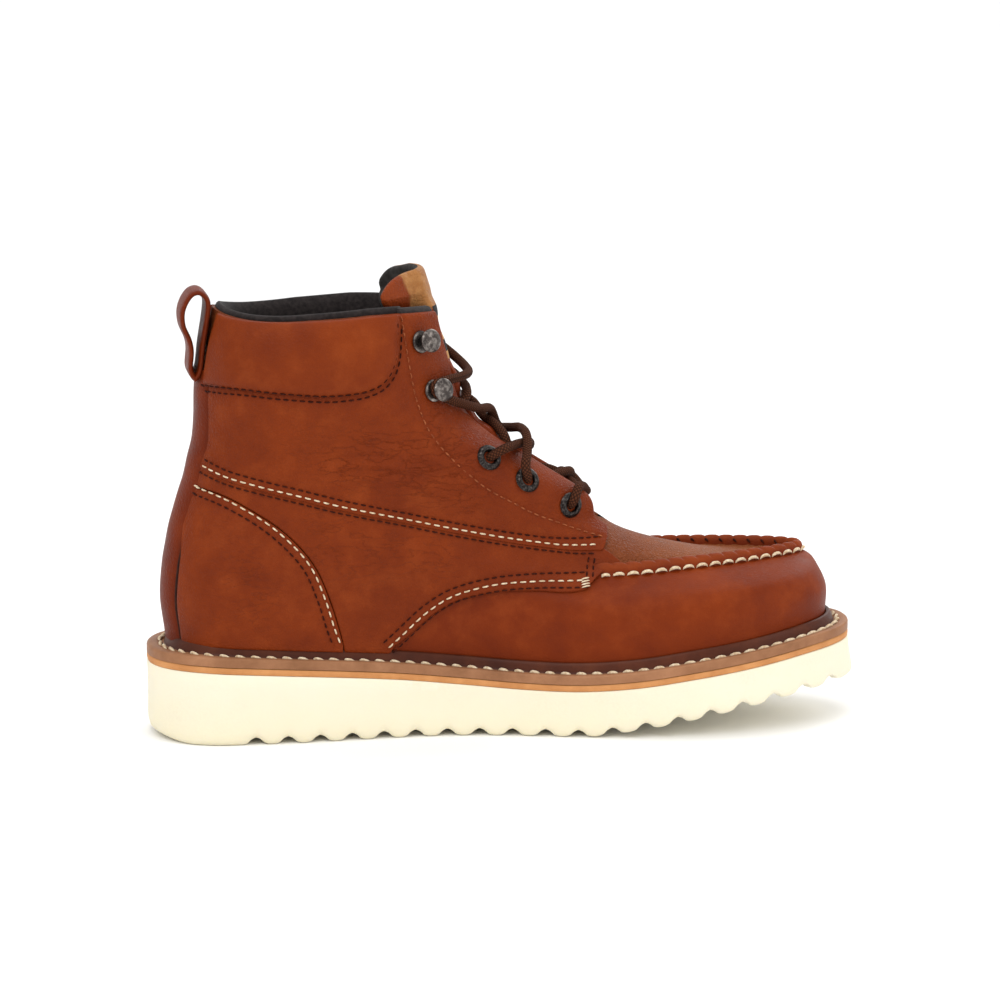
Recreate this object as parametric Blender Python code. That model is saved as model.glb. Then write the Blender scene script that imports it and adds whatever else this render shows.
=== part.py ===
"""Left wedge sole work boot with a moc toe, built as separate solids.

Metres, +Z up, toe along +X, inner side of the foot along -Y. The origin is on the floor,
at the middle of the sole's length and width.
"""

import bpy
import bmesh
import math
import numpy as np
from mathutils import Vector

# Driving sizes
SOLE_LENGTH = 0.303
BALL_WIDTH = 0.105
UPPER_HEIGHT = 0.150
HEEL_STACK = 0.0315
TOE_SPRING = 0.0196
MIDSOLE_THICK = 0.0025
INSOLE_THICK = 0.0035
GAP = 0.0003
CENTRE = (-0.00104, -0.00246, 0.0)

# Sole details
LUG_PITCH = 0.0136
LUG_DEPTH = 0.0031
LUG_START = -0.1085
LUG_END = 0.139
TOE_FLARE = 0.0025
TOE_SWING = 0.004
CREAM_EDGE = 0.0012

# Welt
WELT_RIDGE = 0.0088

# Leather
WALL = 0.0022
LAP_GAP = 0.0011
QUARTER_THICK = 0.0009
SHAFT_LAP = 0.0015
SHAFT_THICK = 0.0012
COUNTER_THICK = 0.0011
CUFF_THICK = 0.0013
CUFF_PUFF = 0.0022
STRIP_THICK = 0.0023
STRIP_WIDTH = 0.029
RIDGE_HEIGHT = 0.0045
RIDGE_WIDTH = 0.0036
THROAT_HALF = 0.015
FACING_LAP = 0.0008
UPPER_COLUMNS = 40

# Tongue and collar lining
TONGUE_THICK = 0.0042
TONGUE_HALF = 0.029
TONGUE_CLEAR = 0.0018
LINING_THICK = 0.0034
LINING_STAND = 0.0016

# Pull loop
LOOP_WIDTH = 0.023
LOOP_THICK = 0.0025

# Fittings
EYELET_OUTER = 0.0055
EYELET_HOLE = 0.00275
EYELET_BARREL = 0.0033
EYELET_RIM = 0.0011
EYELET_SIDES = 10
EYELET_SET = (0.0135, 0.0230, 0.0242)
HOOK_SET = 0.0150
HOOK_WIDTH = 0.0092
HOOK_STAND = 0.0062
HOOK_PLATE = 0.0011
HOOK_SINK = (0.0003, 0.0007)
LACE = 0.0040
LACE_CLEAR = (0.0018, 0.0013, 0.0007)

# Sole seen from the side: share of SOLE_LENGTH, of TOE_SPRING and of HEEL_STACK
SOLE_PROFILE = np.array([
    # along, tread, top
    (-0.500, 0.180, 1.000),
    (-0.440, 0.000, 0.994),
    (-0.370, 0.000, 0.957),
    (-0.264, 0.000, 0.890),
    (-0.158, 0.000, 0.803),
    (-0.066, 0.000, 0.708),
    (0.016, 0.000, 0.643),
    (0.092, 0.000, 0.629),
    (0.165, 0.148, 0.686),
    (0.251, 0.400, 0.813),
    (0.340, 0.665, 0.940),
    (0.422, 0.870, 1.054),
    (0.510, 1.000, 1.120),
])

# One lug of the tread: share of LUG_PITCH, share of LUG_DEPTH
LUG_FORM = ((0.15, 0.0), (0.34, 0.66), (0.50, 1.0), (0.66, 0.66), (0.85, 0.0))

# Loops of the last, from the feather edge up. back, front, back_round, round_m and round_l
# are shares of SOLE_LENGTH, back_h, front_h and sag of UPPER_HEIGHT over the sole's top,
# the widths (m inner side, l outer side) of BALL_WIDTH. follow is how much the loop takes
# the sole's curve, and point is the exponent of its front arc.
LAST_COLUMNS = ("back", "back_h", "front", "front_h", "back_round", "round_m", "round_l",
                "heel_m", "waist_m", "ball_m", "heel_l", "waist_l", "ball_l",
                "follow", "point", "sag")
LAST = (
    ("feather", -.459, .000, .465, .000, .089, .211, .297,
     .257, .219, .405, .262, .281, .448, 1.00, 2.15, .000),
    ("joint", -.463, .073, .467, .067, .092, .205, .290,
     .269, .233, .419, .272, .295, .462, 1.00, 2.15, .000),
    ("bulge", -.468, .160, .467, .131, .096, .198, .284,
     .278, .248, .429, .282, .305, .471, 0.97, 2.15, .000),
    ("wall", -.465, .247, .456, .185, .099, .198, .277,
     .279, .260, .405, .282, .305, .448, 0.85, 2.10, .000),
    ("shoulder", -.460, .307, .445, .217, .102, .231, .290,
     .275, .265, .329, .278, .299, .371, 0.75, 1.90, .000),
    ("ridge", -.455, .357, .427, .232, .106, .310, .310,
     .270, .265, .281, .273, .295, .300, 0.68, 1.55, .000),
    ("plug_toe", -.449, .400, .396, .233, .109, .284, .284,
     .267, .261, .252, .269, .290, .271, 0.60, 1.60, .000),
    ("plug_mid", -.442, .447, .317, .267, .112, .224, .224,
     .265, .257, .243, .267, .280, .257, 0.45, 1.70, .000),
    ("plug_back", -.434, .497, .224, .333, .116, .172, .172,
     .269, .257, .238, .270, .275, .248, 0.30, 1.80, .000),
    ("throat", -.428, .550, .152, .413, .122, .145, .152,
     .276, .267, .248, .278, .278, .255, 0.15, 1.90, .000),
    ("lace_1", -.421, .607, .132, .493, .129, .152, .158,
     .290, .282, .262, .291, .287, .269, 0.05, 2.00, .000),
    ("lace_2", -.418, .673, .059, .593, .139, .145, .149,
     .310, .306, .276, .311, .310, .281, 0.00, 2.05, .000),
    ("lace_3", -.417, .747, -.013, .674, .145, .142, .145,
     .324, .324, .295, .325, .328, .298, 0.00, 2.05, .000),
    ("instep", -.414, .827, -.056, .757, .149, .142, .145,
     .333, .335, .314, .334, .338, .317, 0.00, 2.05, .007),
    ("hooks", -.410, .907, -.076, .899, .149, .145, .145,
     .328, .331, .322, .329, .333, .324, 0.00, 2.05, .015),
    ("collar", -.401, 1.003, -.094, 1.042, .149, .142, .142,
     .318, .320, .318, .319, .322, .320, 0.00, 2.05, .033),
    ("brow", -.395, 1.100, -.111, 1.150, .149, .142, .142,
     .315, .318, .318, .316, .320, .320, 0.00, 2.05, .033),
)
ROW = {loop[0]: place for place, loop in enumerate(LAST)}

# The sole's outline, in the same columns from back to ball_l
SOLE_OUTLINE = {
    "back": -0.500, "front": 0.500, "back_round": 0.115, "round_m": 0.264, "round_l": 0.383,
    "heel_m": 0.324, "waist_m": 0.290, "ball_m": 0.476,
    "heel_l": 0.329, "waist_l": 0.348, "ball_l": 0.524, "point": 2.15,
}

# Where a loop takes its widths, as shares of its length from the back
WIDTH_AT = {-1: (0, 0.17, 0.42, 0.72, 1.0), 1: (0, 0.17, 0.42, 0.63, 1.0)}
BACK_POINT = 2.15
ARC_ENDS = (0.34, 0.72)
END_WIDTHS = (0.995, 0.985)

# Seams seen from the side: share of SOLE_LENGTH, share of UPPER_HEIGHT over the sole's top
LONG_SEAM = ((-.424, .540), (-.390, .514), (-.356, .499), (-.305, .478), (-.244, .452),
             (-.135, .420), (-.043, .396), (.056, .372), (.130, .350))
COUNTER_SEAM = ((-.438, .482), (-.399, .474), (-.352, .430), (-.306, .364), (-.276, .294),
                (-.253, .191), (-.241, .114), (-.235, .068))
VAMP_SEAM = ((-.167, .063), (-.150, .090), (-.106, .172), (-.079, .209), (-.046, .234),
             (-.009, .252), (.035, .258), (.092, .257), (.112, .272))
CUFF_SEAM = ((-.412, .772), (-.370, .776), (-.317, .775), (-.234, .780), (-.203, .793),
             (-.183, .812), (-.170, .843), (-.164, .879), (-.161, .936), (-.160, .985))

# Welt cut across: share of the way from its edge to the upper, share of WELT_RIDGE
WELT_FORM = ((0.00, 0.00), (0.00, 0.44), (0.07, 0.53), (0.36, 0.55), (0.48, 0.47),
             (0.62, 0.56), (0.80, 0.94), (1.00, 1.00), (1.00, 0.00))

# Raised moc seam: distance from the seam as a share of RIDGE_WIDTH, share of RIDGE_HEIGHT
RIDGE_FORM = ((-1.00, 0.0), (-0.80, 0.80), (-0.35, 1.0), (0.15, 0.85), (0.45, 0.0))
RIDGE_FADE = (0.140, 0.170)

# Pull loop, from its sewn foot up the inner leg and down the outer one:
# metres behind the shaft's back, share of UPPER_HEIGHT over the sole's top
LOOP_PATH = ((.0042, .785), (.0024, .812), (.0020, .880), (.0020, .950), (.0027, .996),
             (.0045, 1.018), (.0073, 1.029), (.0102, 1.022), (.0122, .998), (.0127, .968),
             (.0112, .932), (.0080, .895), (.0066, .862), (.0064, .812))

# Loops at which the eyelets and hooks sit, from the toe up
EYELET_ROWS = (9.69, 10.44, 11.13)
HOOK_ROWS = (13.32, 14.31)

COLOURS = {
    "cream": (0.83, 0.75, 0.58), "tan": (0.60, 0.33, 0.15), "welt": (0.20, 0.085, 0.04),
    "leather": (0.30, 0.075, 0.025), "dark": (0.028, 0.022, 0.020),
    "lace": (0.12, 0.05, 0.028), "metal": (0.10, 0.09, 0.085),
}


def curve(knots, values, x, level=False):
    """Smooth curve through the knots; level keeps it between them, flat where they are."""
    knots = np.asarray(knots, float)
    values = np.asarray(values, float)
    step = np.diff(knots)
    rise = np.diff(values) / step
    slope = np.empty_like(values)
    slope[0], slope[-1] = rise[0], rise[-1]
    slope[1:-1] = (rise[:-1] * step[1:] + rise[1:] * step[:-1]) / (step[:-1] + step[1:])
    if level:
        slope[1:-1] = np.where(rise[:-1] * rise[1:] > 0, slope[1:-1], 0)
    x = np.clip(x, knots[0], knots[-1])
    i = np.clip(np.searchsorted(knots, x, side="right") - 1, 0, len(step) - 1)
    t = (x - knots[i]) / step[i]
    return ((1 + 2 * t) * (1 - t) ** 2 * values[i] + t * (1 - t) ** 2 * step[i] * slope[i]
            + t * t * (3 - 2 * t) * values[i + 1] + t * t * (t - 1) * step[i] * slope[i + 1])


def tread_height(x):
    return TOE_SPRING * curve(SOLE_PROFILE[:, 0], SOLE_PROFILE[:, 1], x / SOLE_LENGTH, True)


def wedge_top(x):
    return HEEL_STACK * curve(SOLE_PROFILE[:, 0], SOLE_PROFILE[:, 2], x / SOLE_LENGTH)


def seat(x):
    """Height of the sole's top, on which the welt, upper and insole stand."""
    return wedge_top(x) + GAP + MIDSOLE_THICK + GAP


def swing(x):
    """The toe turns a little to the inner side."""
    return -TOE_SWING * np.clip(x / (SOLE_LENGTH / 2) - 0.12, 0, 1) ** 2


LAST_TABLE = np.array([loop[1:] for loop in LAST])
LAST_UNITS = ([SOLE_LENGTH, UPPER_HEIGHT, SOLE_LENGTH, UPPER_HEIGHT] + [SOLE_LENGTH] * 3
              + [BALL_WIDTH] * 6 + [1, 1, UPPER_HEIGHT])
ARC_STEPS = np.linspace(0, 1, 97)


def loop_sizes(v):
    """Sizes in metres of the loop at row v, by column name."""
    rows = np.arange(len(LAST_TABLE), dtype=float)
    return {name: curve(rows, LAST_TABLE[:, i], v) * LAST_UNITS[i]
            for i, name in enumerate(LAST_COLUMNS)}


def outline_sizes(inset=0.0):
    """Sizes in metres of the sole's outline, drawn in by inset."""
    sizes = {}
    for name, share in SOLE_OUTLINE.items():
        if name == "point":
            sizes[name] = share
        elif name[:4] in ("heel", "wais", "ball"):
            sizes[name] = share * BALL_WIDTH - inset
        else:
            sizes[name] = share * SOLE_LENGTH
    sizes["back"] += inset
    sizes["front"] -= inset
    return sizes


def loop_x(loop, side, s):
    """x along a loop: s is 0 at the front and 1 at the back, with an arc at each end."""
    front_round = np.where(side < 0, loop["round_m"], loop["round_l"])
    front, back, back_round = loop["front"], loop["back"], loop["back_round"]
    into_front = np.clip(1 - s / ARC_ENDS[0], 0, 1) * math.pi / 2
    into_back = np.clip((s - ARC_ENDS[1]) / (1 - ARC_ENDS[1]), 0, 1) * math.pi / 2
    x_front = front - front_round + front_round * np.sin(into_front) ** (2 / loop["point"])
    x_back = back + back_round - back_round * np.sin(into_back) ** (2 / BACK_POINT)
    along = np.clip((s - ARC_ENDS[0]) / (ARC_ENDS[1] - ARC_ENDS[0]), 0, 1)
    x_side = front - front_round + (back + back_round - front + front_round) * along
    return np.where(s < ARC_ENDS[0], x_front, np.where(s > ARC_ENDS[1], x_back, x_side))


def side_width(loop, side, share):
    """Half width of one side before its ends are rounded: a cubic through the widths."""
    name = "_m" if side < 0 else "_l"
    knots = np.array(WIDTH_AT[side])
    step = np.diff(knots)
    values = [loop["heel" + name] * END_WIDTHS[0], loop["heel" + name],
              loop["waist" + name], loop["ball" + name], loop["ball" + name] * END_WIDTHS[1]]
    rise = [(values[j + 1] - values[j]) / step[j] for j in range(4)]
    slope = [rise[0], rise[0] * 0]
    slope += [(rise[j - 1] * step[j] + rise[j] * step[j - 1]) / (step[j - 1] + step[j])
              for j in (2, 3)]
    slope.append(rise[3])
    width = share * 0.0
    for j in range(4):
        t = (share - knots[j]) / step[j]
        piece = ((1 + 2 * t) * (1 - t) ** 2 * values[j] + t * (1 - t) ** 2 * step[j] * slope[j]
                 + t * t * (3 - 2 * t) * values[j + 1]
                 + t * t * (t - 1) * step[j] * slope[j + 1])
        here = (share <= knots[j + 1]) & ((share > knots[j]) if j else (share >= 0))
        width = np.where(here, piece, width)
    return width


def half_width(loop, side, x):
    """Half width at x, with a rounded end at front and back."""
    front_round = np.where(side < 0, loop["round_m"], loop["round_l"])
    front, back, back_round = loop["front"], loop["back"], loop["back_round"]
    share = np.clip((x - back) / (front - back), 0, 1)
    width = np.where(side < 0, side_width(loop, -1, share), side_width(loop, 1, share))
    into_front = np.clip((x - front + front_round) / front_round, 0, 1)
    into_back = np.clip((back + back_round - x) / back_round, 0, 1)
    power = loop["point"]
    return (width * (1 - into_front ** power) ** (1 / power)
            * (1 - into_back ** BACK_POINT) ** (1 / BACK_POINT))


def loop_height(loop, x):
    """Height of a loop at x: a chord from back to front, bent with the sole, less its sag."""
    share = np.clip((x - loop["back"]) / (loop["front"] - loop["back"]), 0, 1)
    low, high = seat(loop["back"]), seat(loop["front"])
    chord = low + (high - low) * share
    rise = loop["back_h"] + (loop["front_h"] - loop["back_h"]) * share
    return chord + loop["follow"] * (seat(x) - chord) + rise - loop["sag"] * np.sin(
        math.pi * share ** 0.6)


def walk(loop, side):
    """Points along a loop and the distance walked to each, from the front."""
    x = loop_x(loop, side, ARC_STEPS[None, :])
    y = swing(x) + side * half_width(loop, side, x)
    z = loop_height(loop, x)
    step = np.sqrt(np.diff(x) ** 2 + np.diff(y) ** 2 + np.diff(z) ** 2)
    walked = np.concatenate([np.zeros((len(x), 1)), np.cumsum(step, 1)], 1)
    return x, y, z, walked


def surface(v, u):
    """Outer surface of the last: row v, and u from -1 at the back by the inner side,
    through 0 at the front, to 1 at the back by the outer side."""
    v, u = np.broadcast_arrays(np.asarray(v, float), np.asarray(u, float))
    shape = v.shape
    v, u = v.ravel(), u.ravel()
    u = np.where(u > 1, u - 2, np.where(u < -1, u + 2, u))
    side = np.where(u < 0, -1.0, 1.0)[:, None]
    loop = {name: size[:, None] for name, size in loop_sizes(v).items()}
    x, y, z, walked = walk(loop, side)
    goal = np.abs(u) * walked[:, -1]
    i = np.clip((walked <= goal[:, None]).sum(1) - 1, 0, len(ARC_STEPS) - 2)
    r = np.arange(len(v))
    t = (goal - walked[r, i]) / np.maximum(walked[r, i + 1] - walked[r, i], 1e-12)
    point = np.stack([a[r, i] + (a[r, i + 1] - a[r, i]) * t for a in (x, y, z)], -1)
    return point.reshape(shape + (3,))


def half_girth(v, side):
    """Length of one side of the loop at row v."""
    loop = {name: size[:, None] for name, size in loop_sizes(np.atleast_1d(v)).items()}
    return walk(loop, np.full((len(np.atleast_1d(v)), 1), float(side)))[3][:, -1]


def outward(v, u, step=0.002):
    """Unit normal of the last's surface."""
    v, u = np.broadcast_arrays(np.asarray(v, float), np.asarray(u, float))
    up = (surface(np.minimum(v + step * 6, len(LAST) - 1.0), u)
          - surface(np.maximum(v - step * 6, 0), u))
    along = surface(v, u + step) - surface(v, u - step)
    normal = np.cross(along, up)
    return normal / np.linalg.norm(normal, axis=-1, keepdims=True)


def over(v, u, distance):
    """Point at a distance over the last's surface."""
    return surface(v, u) + outward(v, u) * np.asarray(distance)[..., None]


def from_front(v, distance, side):
    """u of the point at a walked distance from the front centre, on one side."""
    return side * distance / half_girth(v, side)


def find(x, height, side):
    """Row v and u of the point at x whose height over the sole's top is given."""
    x = np.asarray(x, float)
    z = seat(x) + height
    low, high = np.zeros_like(x), np.full_like(x, len(LAST) - 1.0)
    for _ in range(40):
        middle = (low + high) / 2
        below = loop_height(loop_sizes(middle), x) < z
        low, high = np.where(below, middle, low), np.where(below, high, middle)
    loop = {name: size[:, None] for name, size in loop_sizes(low).items()}
    line_x, _, _, walked = walk(loop, np.full((len(x), 1), float(side)))
    share = [np.interp(-x[k], -line_x[k], walked[k] / walked[k, -1]) for k in range(len(x))]
    return low, side * np.array(share)


def seam(points, side, count, shift=0.0):
    """A seam as rows v and u: count points spread evenly along it, moved up by shift."""
    points = np.array(points) * (SOLE_LENGTH, UPPER_HEIGHT)
    length = np.concatenate([[0], np.cumsum(np.hypot(*np.diff(points, axis=0).T))])
    at = np.linspace(0, length[-1], count)
    x = curve(length, points[:, 0], at)
    height = curve(length, points[:, 1], at) + shift
    return np.array(find(x, height, side))


def join_seams(*seams):
    return np.concatenate(seams, axis=1)


def spread(line, count):
    """The same seam with count points, even along it."""
    step = np.linalg.norm(np.diff(surface(*line), axis=0), axis=1)
    length = np.concatenate([[0], np.cumsum(step)])
    at = np.linspace(0, length[-1], count)
    return np.array([np.interp(at, length, line[0]), np.interp(at, length, line[1])])


def material(name):
    """One plain material for each colour."""
    found = bpy.data.materials.get(name)
    if found:
        return found
    made = bpy.data.materials.new(name)
    made.use_nodes = True
    shader = made.node_tree.nodes["Principled BSDF"]
    shader.inputs["Base Color"].default_value = (*COLOURS[name], 1.0)
    shader.inputs["Roughness"].default_value = 0.35 if name == "metal" else 0.6
    shader.inputs["Metallic"].default_value = 1.0 if name == "metal" else 0.0
    return made


def make_object(name, points, faces, finish, smooth=True):
    """A mesh object with welded corners and its faces turned outwards."""
    mesh = bpy.data.meshes.new(name)
    mesh.from_pydata([tuple(p) for p in np.asarray(points).reshape(-1, 3)], [], faces)
    body = bmesh.new()
    body.from_mesh(mesh)
    bmesh.ops.remove_doubles(body, verts=body.verts, dist=1e-6)
    bmesh.ops.dissolve_degenerate(body, edges=body.edges, dist=1e-7)
    bmesh.ops.recalc_face_normals(body, faces=body.faces)
    body.to_mesh(mesh)
    body.free()
    made = bpy.data.objects.new(name, mesh)
    parts.objects.link(made)
    mesh.materials.append(material(finish))
    if smooth:
        mesh.shade_smooth()
        mesh.set_sharp_from_angle(angle=math.radians(35))
    return made


def sheet_faces(rows, columns, start=0, flip=False):
    """Quads of a grid of points, row by row."""
    faces = []
    for i in range(rows - 1):
        for j in range(columns - 1):
            a = start + i * columns + j
            quad = (a, a + 1, a + columns + 1, a + columns)
            faces.append(quad[::-1] if flip else quad)
    return faces


def rim_faces(rows, columns, open_rows=None):
    """Quads that close the rim between a grid and its copy; open_rows limits the sides."""
    copy = rows * columns
    first = 0 if open_rows is None else open_rows
    faces = []
    for i in (0, rows - 1):
        for j in range(columns - 1):
            a = i * columns + j
            faces.append((a, a + 1, a + 1 + copy, a + copy))
    for j in (0, columns - 1):
        for i in range(first, rows - 1):
            a = i * columns + j
            faces.append((a, a + columns, a + columns + copy, a + copy))
    return faces


def slab(name, outer, inner, finish, open_rows=None):
    """Solid between two grids of the same size; open_rows joins its side columns below."""
    rows, columns = outer.shape[:2]
    faces = sheet_faces(rows, columns)
    faces += sheet_faces(rows, columns, rows * columns, True)
    faces += rim_faces(rows, columns, open_rows)
    points = np.concatenate([outer.reshape(-1, 3), inner.reshape(-1, 3)])
    return make_object(name, points, faces, finish)


def tube_of_rings(name, rings, finish, closed):
    """Solid from a row of rings; closed joins the last ring to the first."""
    count, sides = rings.shape[:2]
    faces = []
    for i in range(count if closed else count - 1):
        after = (i + 1) % count
        for j in range(sides):
            k = (j + 1) % sides
            faces.append((i * sides + j, i * sides + k, after * sides + k, after * sides + j))
    if not closed:
        faces.append(tuple(range(sides)))
        faces.append(tuple((count - 1) * sides + j for j in range(sides)))
    return make_object(name, rings, faces, finish)


def sole_sections(stations, inset, low, high, flare=0.0, edge=0.0):
    """Cross sections of a sole layer: four corners, with a chamfered lower edge."""
    sizes = outline_sizes(inset)
    rings = []
    for x in stations:
        out_m = half_width(sizes, -1, np.array(x))
        out_l = half_width(sizes, 1, np.array(x))
        shift = swing(x)
        bottom_x = x + flare * np.clip((x / SOLE_LENGTH - 0.28) / 0.22, 0, 1)
        z_low, z_high = low(x), high(x)
        ring = [(x, shift - out_m, z_high), (x, shift + out_l, z_high)]
        if edge:
            cut_m, cut_l = min(edge, out_m / 2), min(edge, out_l / 2)
            ring += [(bottom_x, shift + out_l, z_low + edge),
                     (bottom_x, shift + out_l - cut_l, z_low),
                     (bottom_x, shift - out_m + cut_m, z_low),
                     (bottom_x, shift - out_m, z_low + edge)]
        else:
            ring += [(bottom_x, shift + out_l, z_low), (bottom_x, shift - out_m, z_low)]
        rings.append(ring)
    return np.array(rings)


def end_stations(sizes, count):
    """Stations along the whole length, close together at the rounded ends."""
    turn = np.linspace(0, math.pi, count)
    shares = 0.5 - 0.5 * np.cos(turn)
    tip = 0.0004
    length = sizes["front"] - sizes["back"]
    return sizes["back"] + tip + (length - 2 * tip) * shares


def lug_rise(x):
    """How far the tread is cut up at x: nothing under a lug, LUG_DEPTH between two."""
    if x < LUG_START - LUG_PITCH / 2 or x > LUG_END:
        return 0.0
    phase = ((x - LUG_START) / LUG_PITCH + 0.5) % 1.0
    shares = [share for share, _ in LUG_FORM]
    rises = [rise for _, rise in LUG_FORM]
    return LUG_DEPTH * np.interp(phase, shares, rises)


def make_outsole():
    """Cream wedge: straight ribs across it, a plain heel and a lifted toe."""
    sizes = outline_sizes()
    stations = [x for x in end_stations(sizes, 34)]
    lugs = int(round((LUG_END - LUG_START) / LUG_PITCH))
    ribs = [LUG_START + LUG_PITCH * (lug + share - 0.5)
            for lug in range(lugs + 1) for share, _ in LUG_FORM]
    ribs = [x for x in ribs if x <= LUG_END]
    first = LUG_START - LUG_PITCH / 2
    stations = [x for x in stations if not first < x < LUG_END - 0.001]
    stations = np.unique(np.round(stations + ribs, 6))
    rings = sole_sections(stations, 0.0, lambda x: tread_height(x) + lug_rise(x), wedge_top,
                          TOE_FLARE, CREAM_EDGE)
    return tube_of_rings("outsole", rings, "cream", False)


def make_midsole():
    """Thin tan layer between the wedge and the welt."""
    stations = end_stations(outline_sizes(), 42)
    rings = sole_sections(stations, 0.0, lambda x: wedge_top(x) + GAP,
                          lambda x: wedge_top(x) + GAP + MIDSOLE_THICK)
    return tube_of_rings("midsole", rings, "tan", False)


def make_insole():
    """Footbed inside the feather edge of the upper."""
    inset = WALL + 2 * GAP
    sizes = loop_sizes(np.array(0.0))
    for name in LAST_COLUMNS:
        if name[:4] in ("heel", "wais", "ball"):
            sizes[name] = sizes[name] - inset
    sizes["back"] = sizes["back"] + inset
    sizes["front"] = sizes["front"] - inset
    rings = []
    for x in end_stations(sizes, 26):
        out_m = half_width(sizes, -1, np.array(x))
        out_l = half_width(sizes, 1, np.array(x))
        low = seat(x) + GAP
        high = low + INSOLE_THICK
        rings.append([(x, swing(x) - out_m, high), (x, swing(x) + out_l, high),
                      (x, swing(x) + out_l, low), (x, swing(x) - out_m, low)])
    return tube_of_rings("insole", np.array(rings), "dark", False)


def outline_point(u):
    """Point of the sole's outline, on the sole's top, with u as on the last."""
    side = np.where(u < 0, -1.0, 1.0)[:, None]
    sizes = {name: np.full((len(u), 1), size) for name, size in outline_sizes().items()}
    x = loop_x(sizes, side, ARC_STEPS[None, :])
    y = swing(x) + side * half_width(sizes, side, x)
    walked = np.concatenate([np.zeros((len(u), 1)),
                             np.cumsum(np.hypot(np.diff(x), np.diff(y)), 1)], 1)
    points = []
    for k, value in enumerate(np.abs(u)):
        at = value * walked[k, -1]
        points.append((np.interp(at, walked[k], x[k]), np.interp(at, walked[k], y[k])))
    points = np.array(points)
    return np.column_stack([points, seat(points[:, 0])])


def row_at_height(u, height):
    """Row v whose height over the sole's top is the given one, at each u."""
    low, high = np.zeros_like(u), np.full_like(u, float(ROW["shoulder"]))
    for _ in range(30):
        middle = (low + high) / 2
        point = surface(middle, u)
        below = point[:, 2] - seat(point[:, 0]) < height
        low, high = np.where(below, middle, low), np.where(below, high, middle)
    return low


def make_welt():
    """Flat strip round the upper with a stitch groove and a rib against the leather."""
    u = upper_grid([0.0], UPPER_COLUMNS, THROAT_HALF)[1][0][:-1]
    edge = outline_point(u)
    feet = over(np.zeros_like(u), u, np.full(len(u), 2 * GAP))
    heads = over(row_at_height(u, WELT_RIDGE), u, np.full(len(u), 2 * GAP))
    rings = []
    for across, height in WELT_FORM:
        inner = feet + (heads - feet) * height
        point = edge + (inner - edge) * across
        point[:, 2] = seat(point[:, 0]) + WELT_RIDGE * height
        rings.append(point)
    return tube_of_rings("welt", np.array(rings).transpose(1, 0, 2), "welt", True)


def upper_grid(rows, columns, slit):
    """Rows v and u of the upper: from the front by the outer side round to the front."""
    t = np.linspace(0, 1, columns // 2 + 1)
    s = 0.7 * t + 0.3 * (0.5 - 0.5 * np.cos(math.pi * t))
    v = np.repeat(np.array(rows)[:, None], columns + 1, 1)
    u = np.zeros_like(v)
    for i, row in enumerate(rows):
        opening = slit * np.clip((row - ROW["throat"]) / 0.4, 0, 1)
        edge_l = from_front(row, opening, 1)[0]
        edge_m = -from_front(row, opening, -1)[0]
        u[i, :columns // 2 + 1] = edge_l + (1 - edge_l) * s
        u[i, columns // 2:] = -(edge_m + (1 - edge_m) * s[::-1])
    return v, u


def make_upper():
    """Hollow shell of one wall: vamp, plug, raised moc seam, open throat and collar."""
    below = [0.0, 0.4, 0.9, 1.5, 2.2, 3.0, 3.8]
    above = [5.8, 6.8, 7.8, 8.5, 9.0, 9.4, 9.9, 10.5, 11.2, 11.8, 12.5, 13.2, 14.1, 15.0]
    seam_row = float(ROW["ridge"])
    rows = below + [seam_row] * len(RIDGE_FORM) + above
    columns = UPPER_COLUMNS
    v, u = upper_grid(rows, columns, THROAT_HALF + FACING_LAP)
    lift = np.zeros_like(v)
    first = len(below)
    on_seam = surface(np.full(columns + 1, seam_row), u[first])
    pace = np.linalg.norm(surface(np.full(columns + 1, seam_row + 0.05), u[first])
                          - on_seam, axis=1) / 0.05
    fade = np.clip((on_seam[:, 0] / SOLE_LENGTH - RIDGE_FADE[0])
                   / (RIDGE_FADE[1] - RIDGE_FADE[0]), 0, 1)
    for k, (distance, height) in enumerate(RIDGE_FORM):
        reach = RIDGE_WIDTH * np.where(fade > 0, 1.0, 0.6)
        v[first + k] = seam_row + distance * reach / pace
        lift[first + k] = height * RIDGE_HEIGHT * fade
    outer = surface(v, u)
    inner = over(v, u, np.full(v.shape, -WALL))
    outer[..., 2] += lift
    open_row = rows.index(float(ROW["throat"]))
    made = slab("upper", outer, inner, "leather", open_row)
    return made


def panel(name, lower, higher, bands, lap, thickness):
    """Overlay between two seams: a slab that lies at a lap over the upper's surface."""
    share = np.linspace(0, 1, bands + 1)[:, None]
    v = lower[0] + (higher[0] - lower[0]) * share
    u = lower[1] + (higher[1] - lower[1]) * share
    return slab(name, over(v, u, np.full(v.shape, lap + thickness)),
                over(v, u, np.full(v.shape, lap)), "leather")


def welt_line(start, end, side, count):
    """A seam just over the welt's rib, between two x, in metres."""
    x = np.linspace(start, end, count)
    return np.array(find(x, WELT_RIDGE + GAP, side))


def strip_edge(rows, side, lap=GAP):
    """The line beside the heel strip at the given rows."""
    rows = np.asarray(rows, float)
    u = side * (1 - (STRIP_WIDTH / 2 + lap) / half_girth(rows, side))
    return np.array([rows, u])


def end_on_strip(line, side):
    """The seam with its first point moved to the heel strip's edge."""
    edge = strip_edge([line[0][0]], side)
    line = line.copy()
    line[:, 0] = edge[:, 0]
    return line


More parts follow.
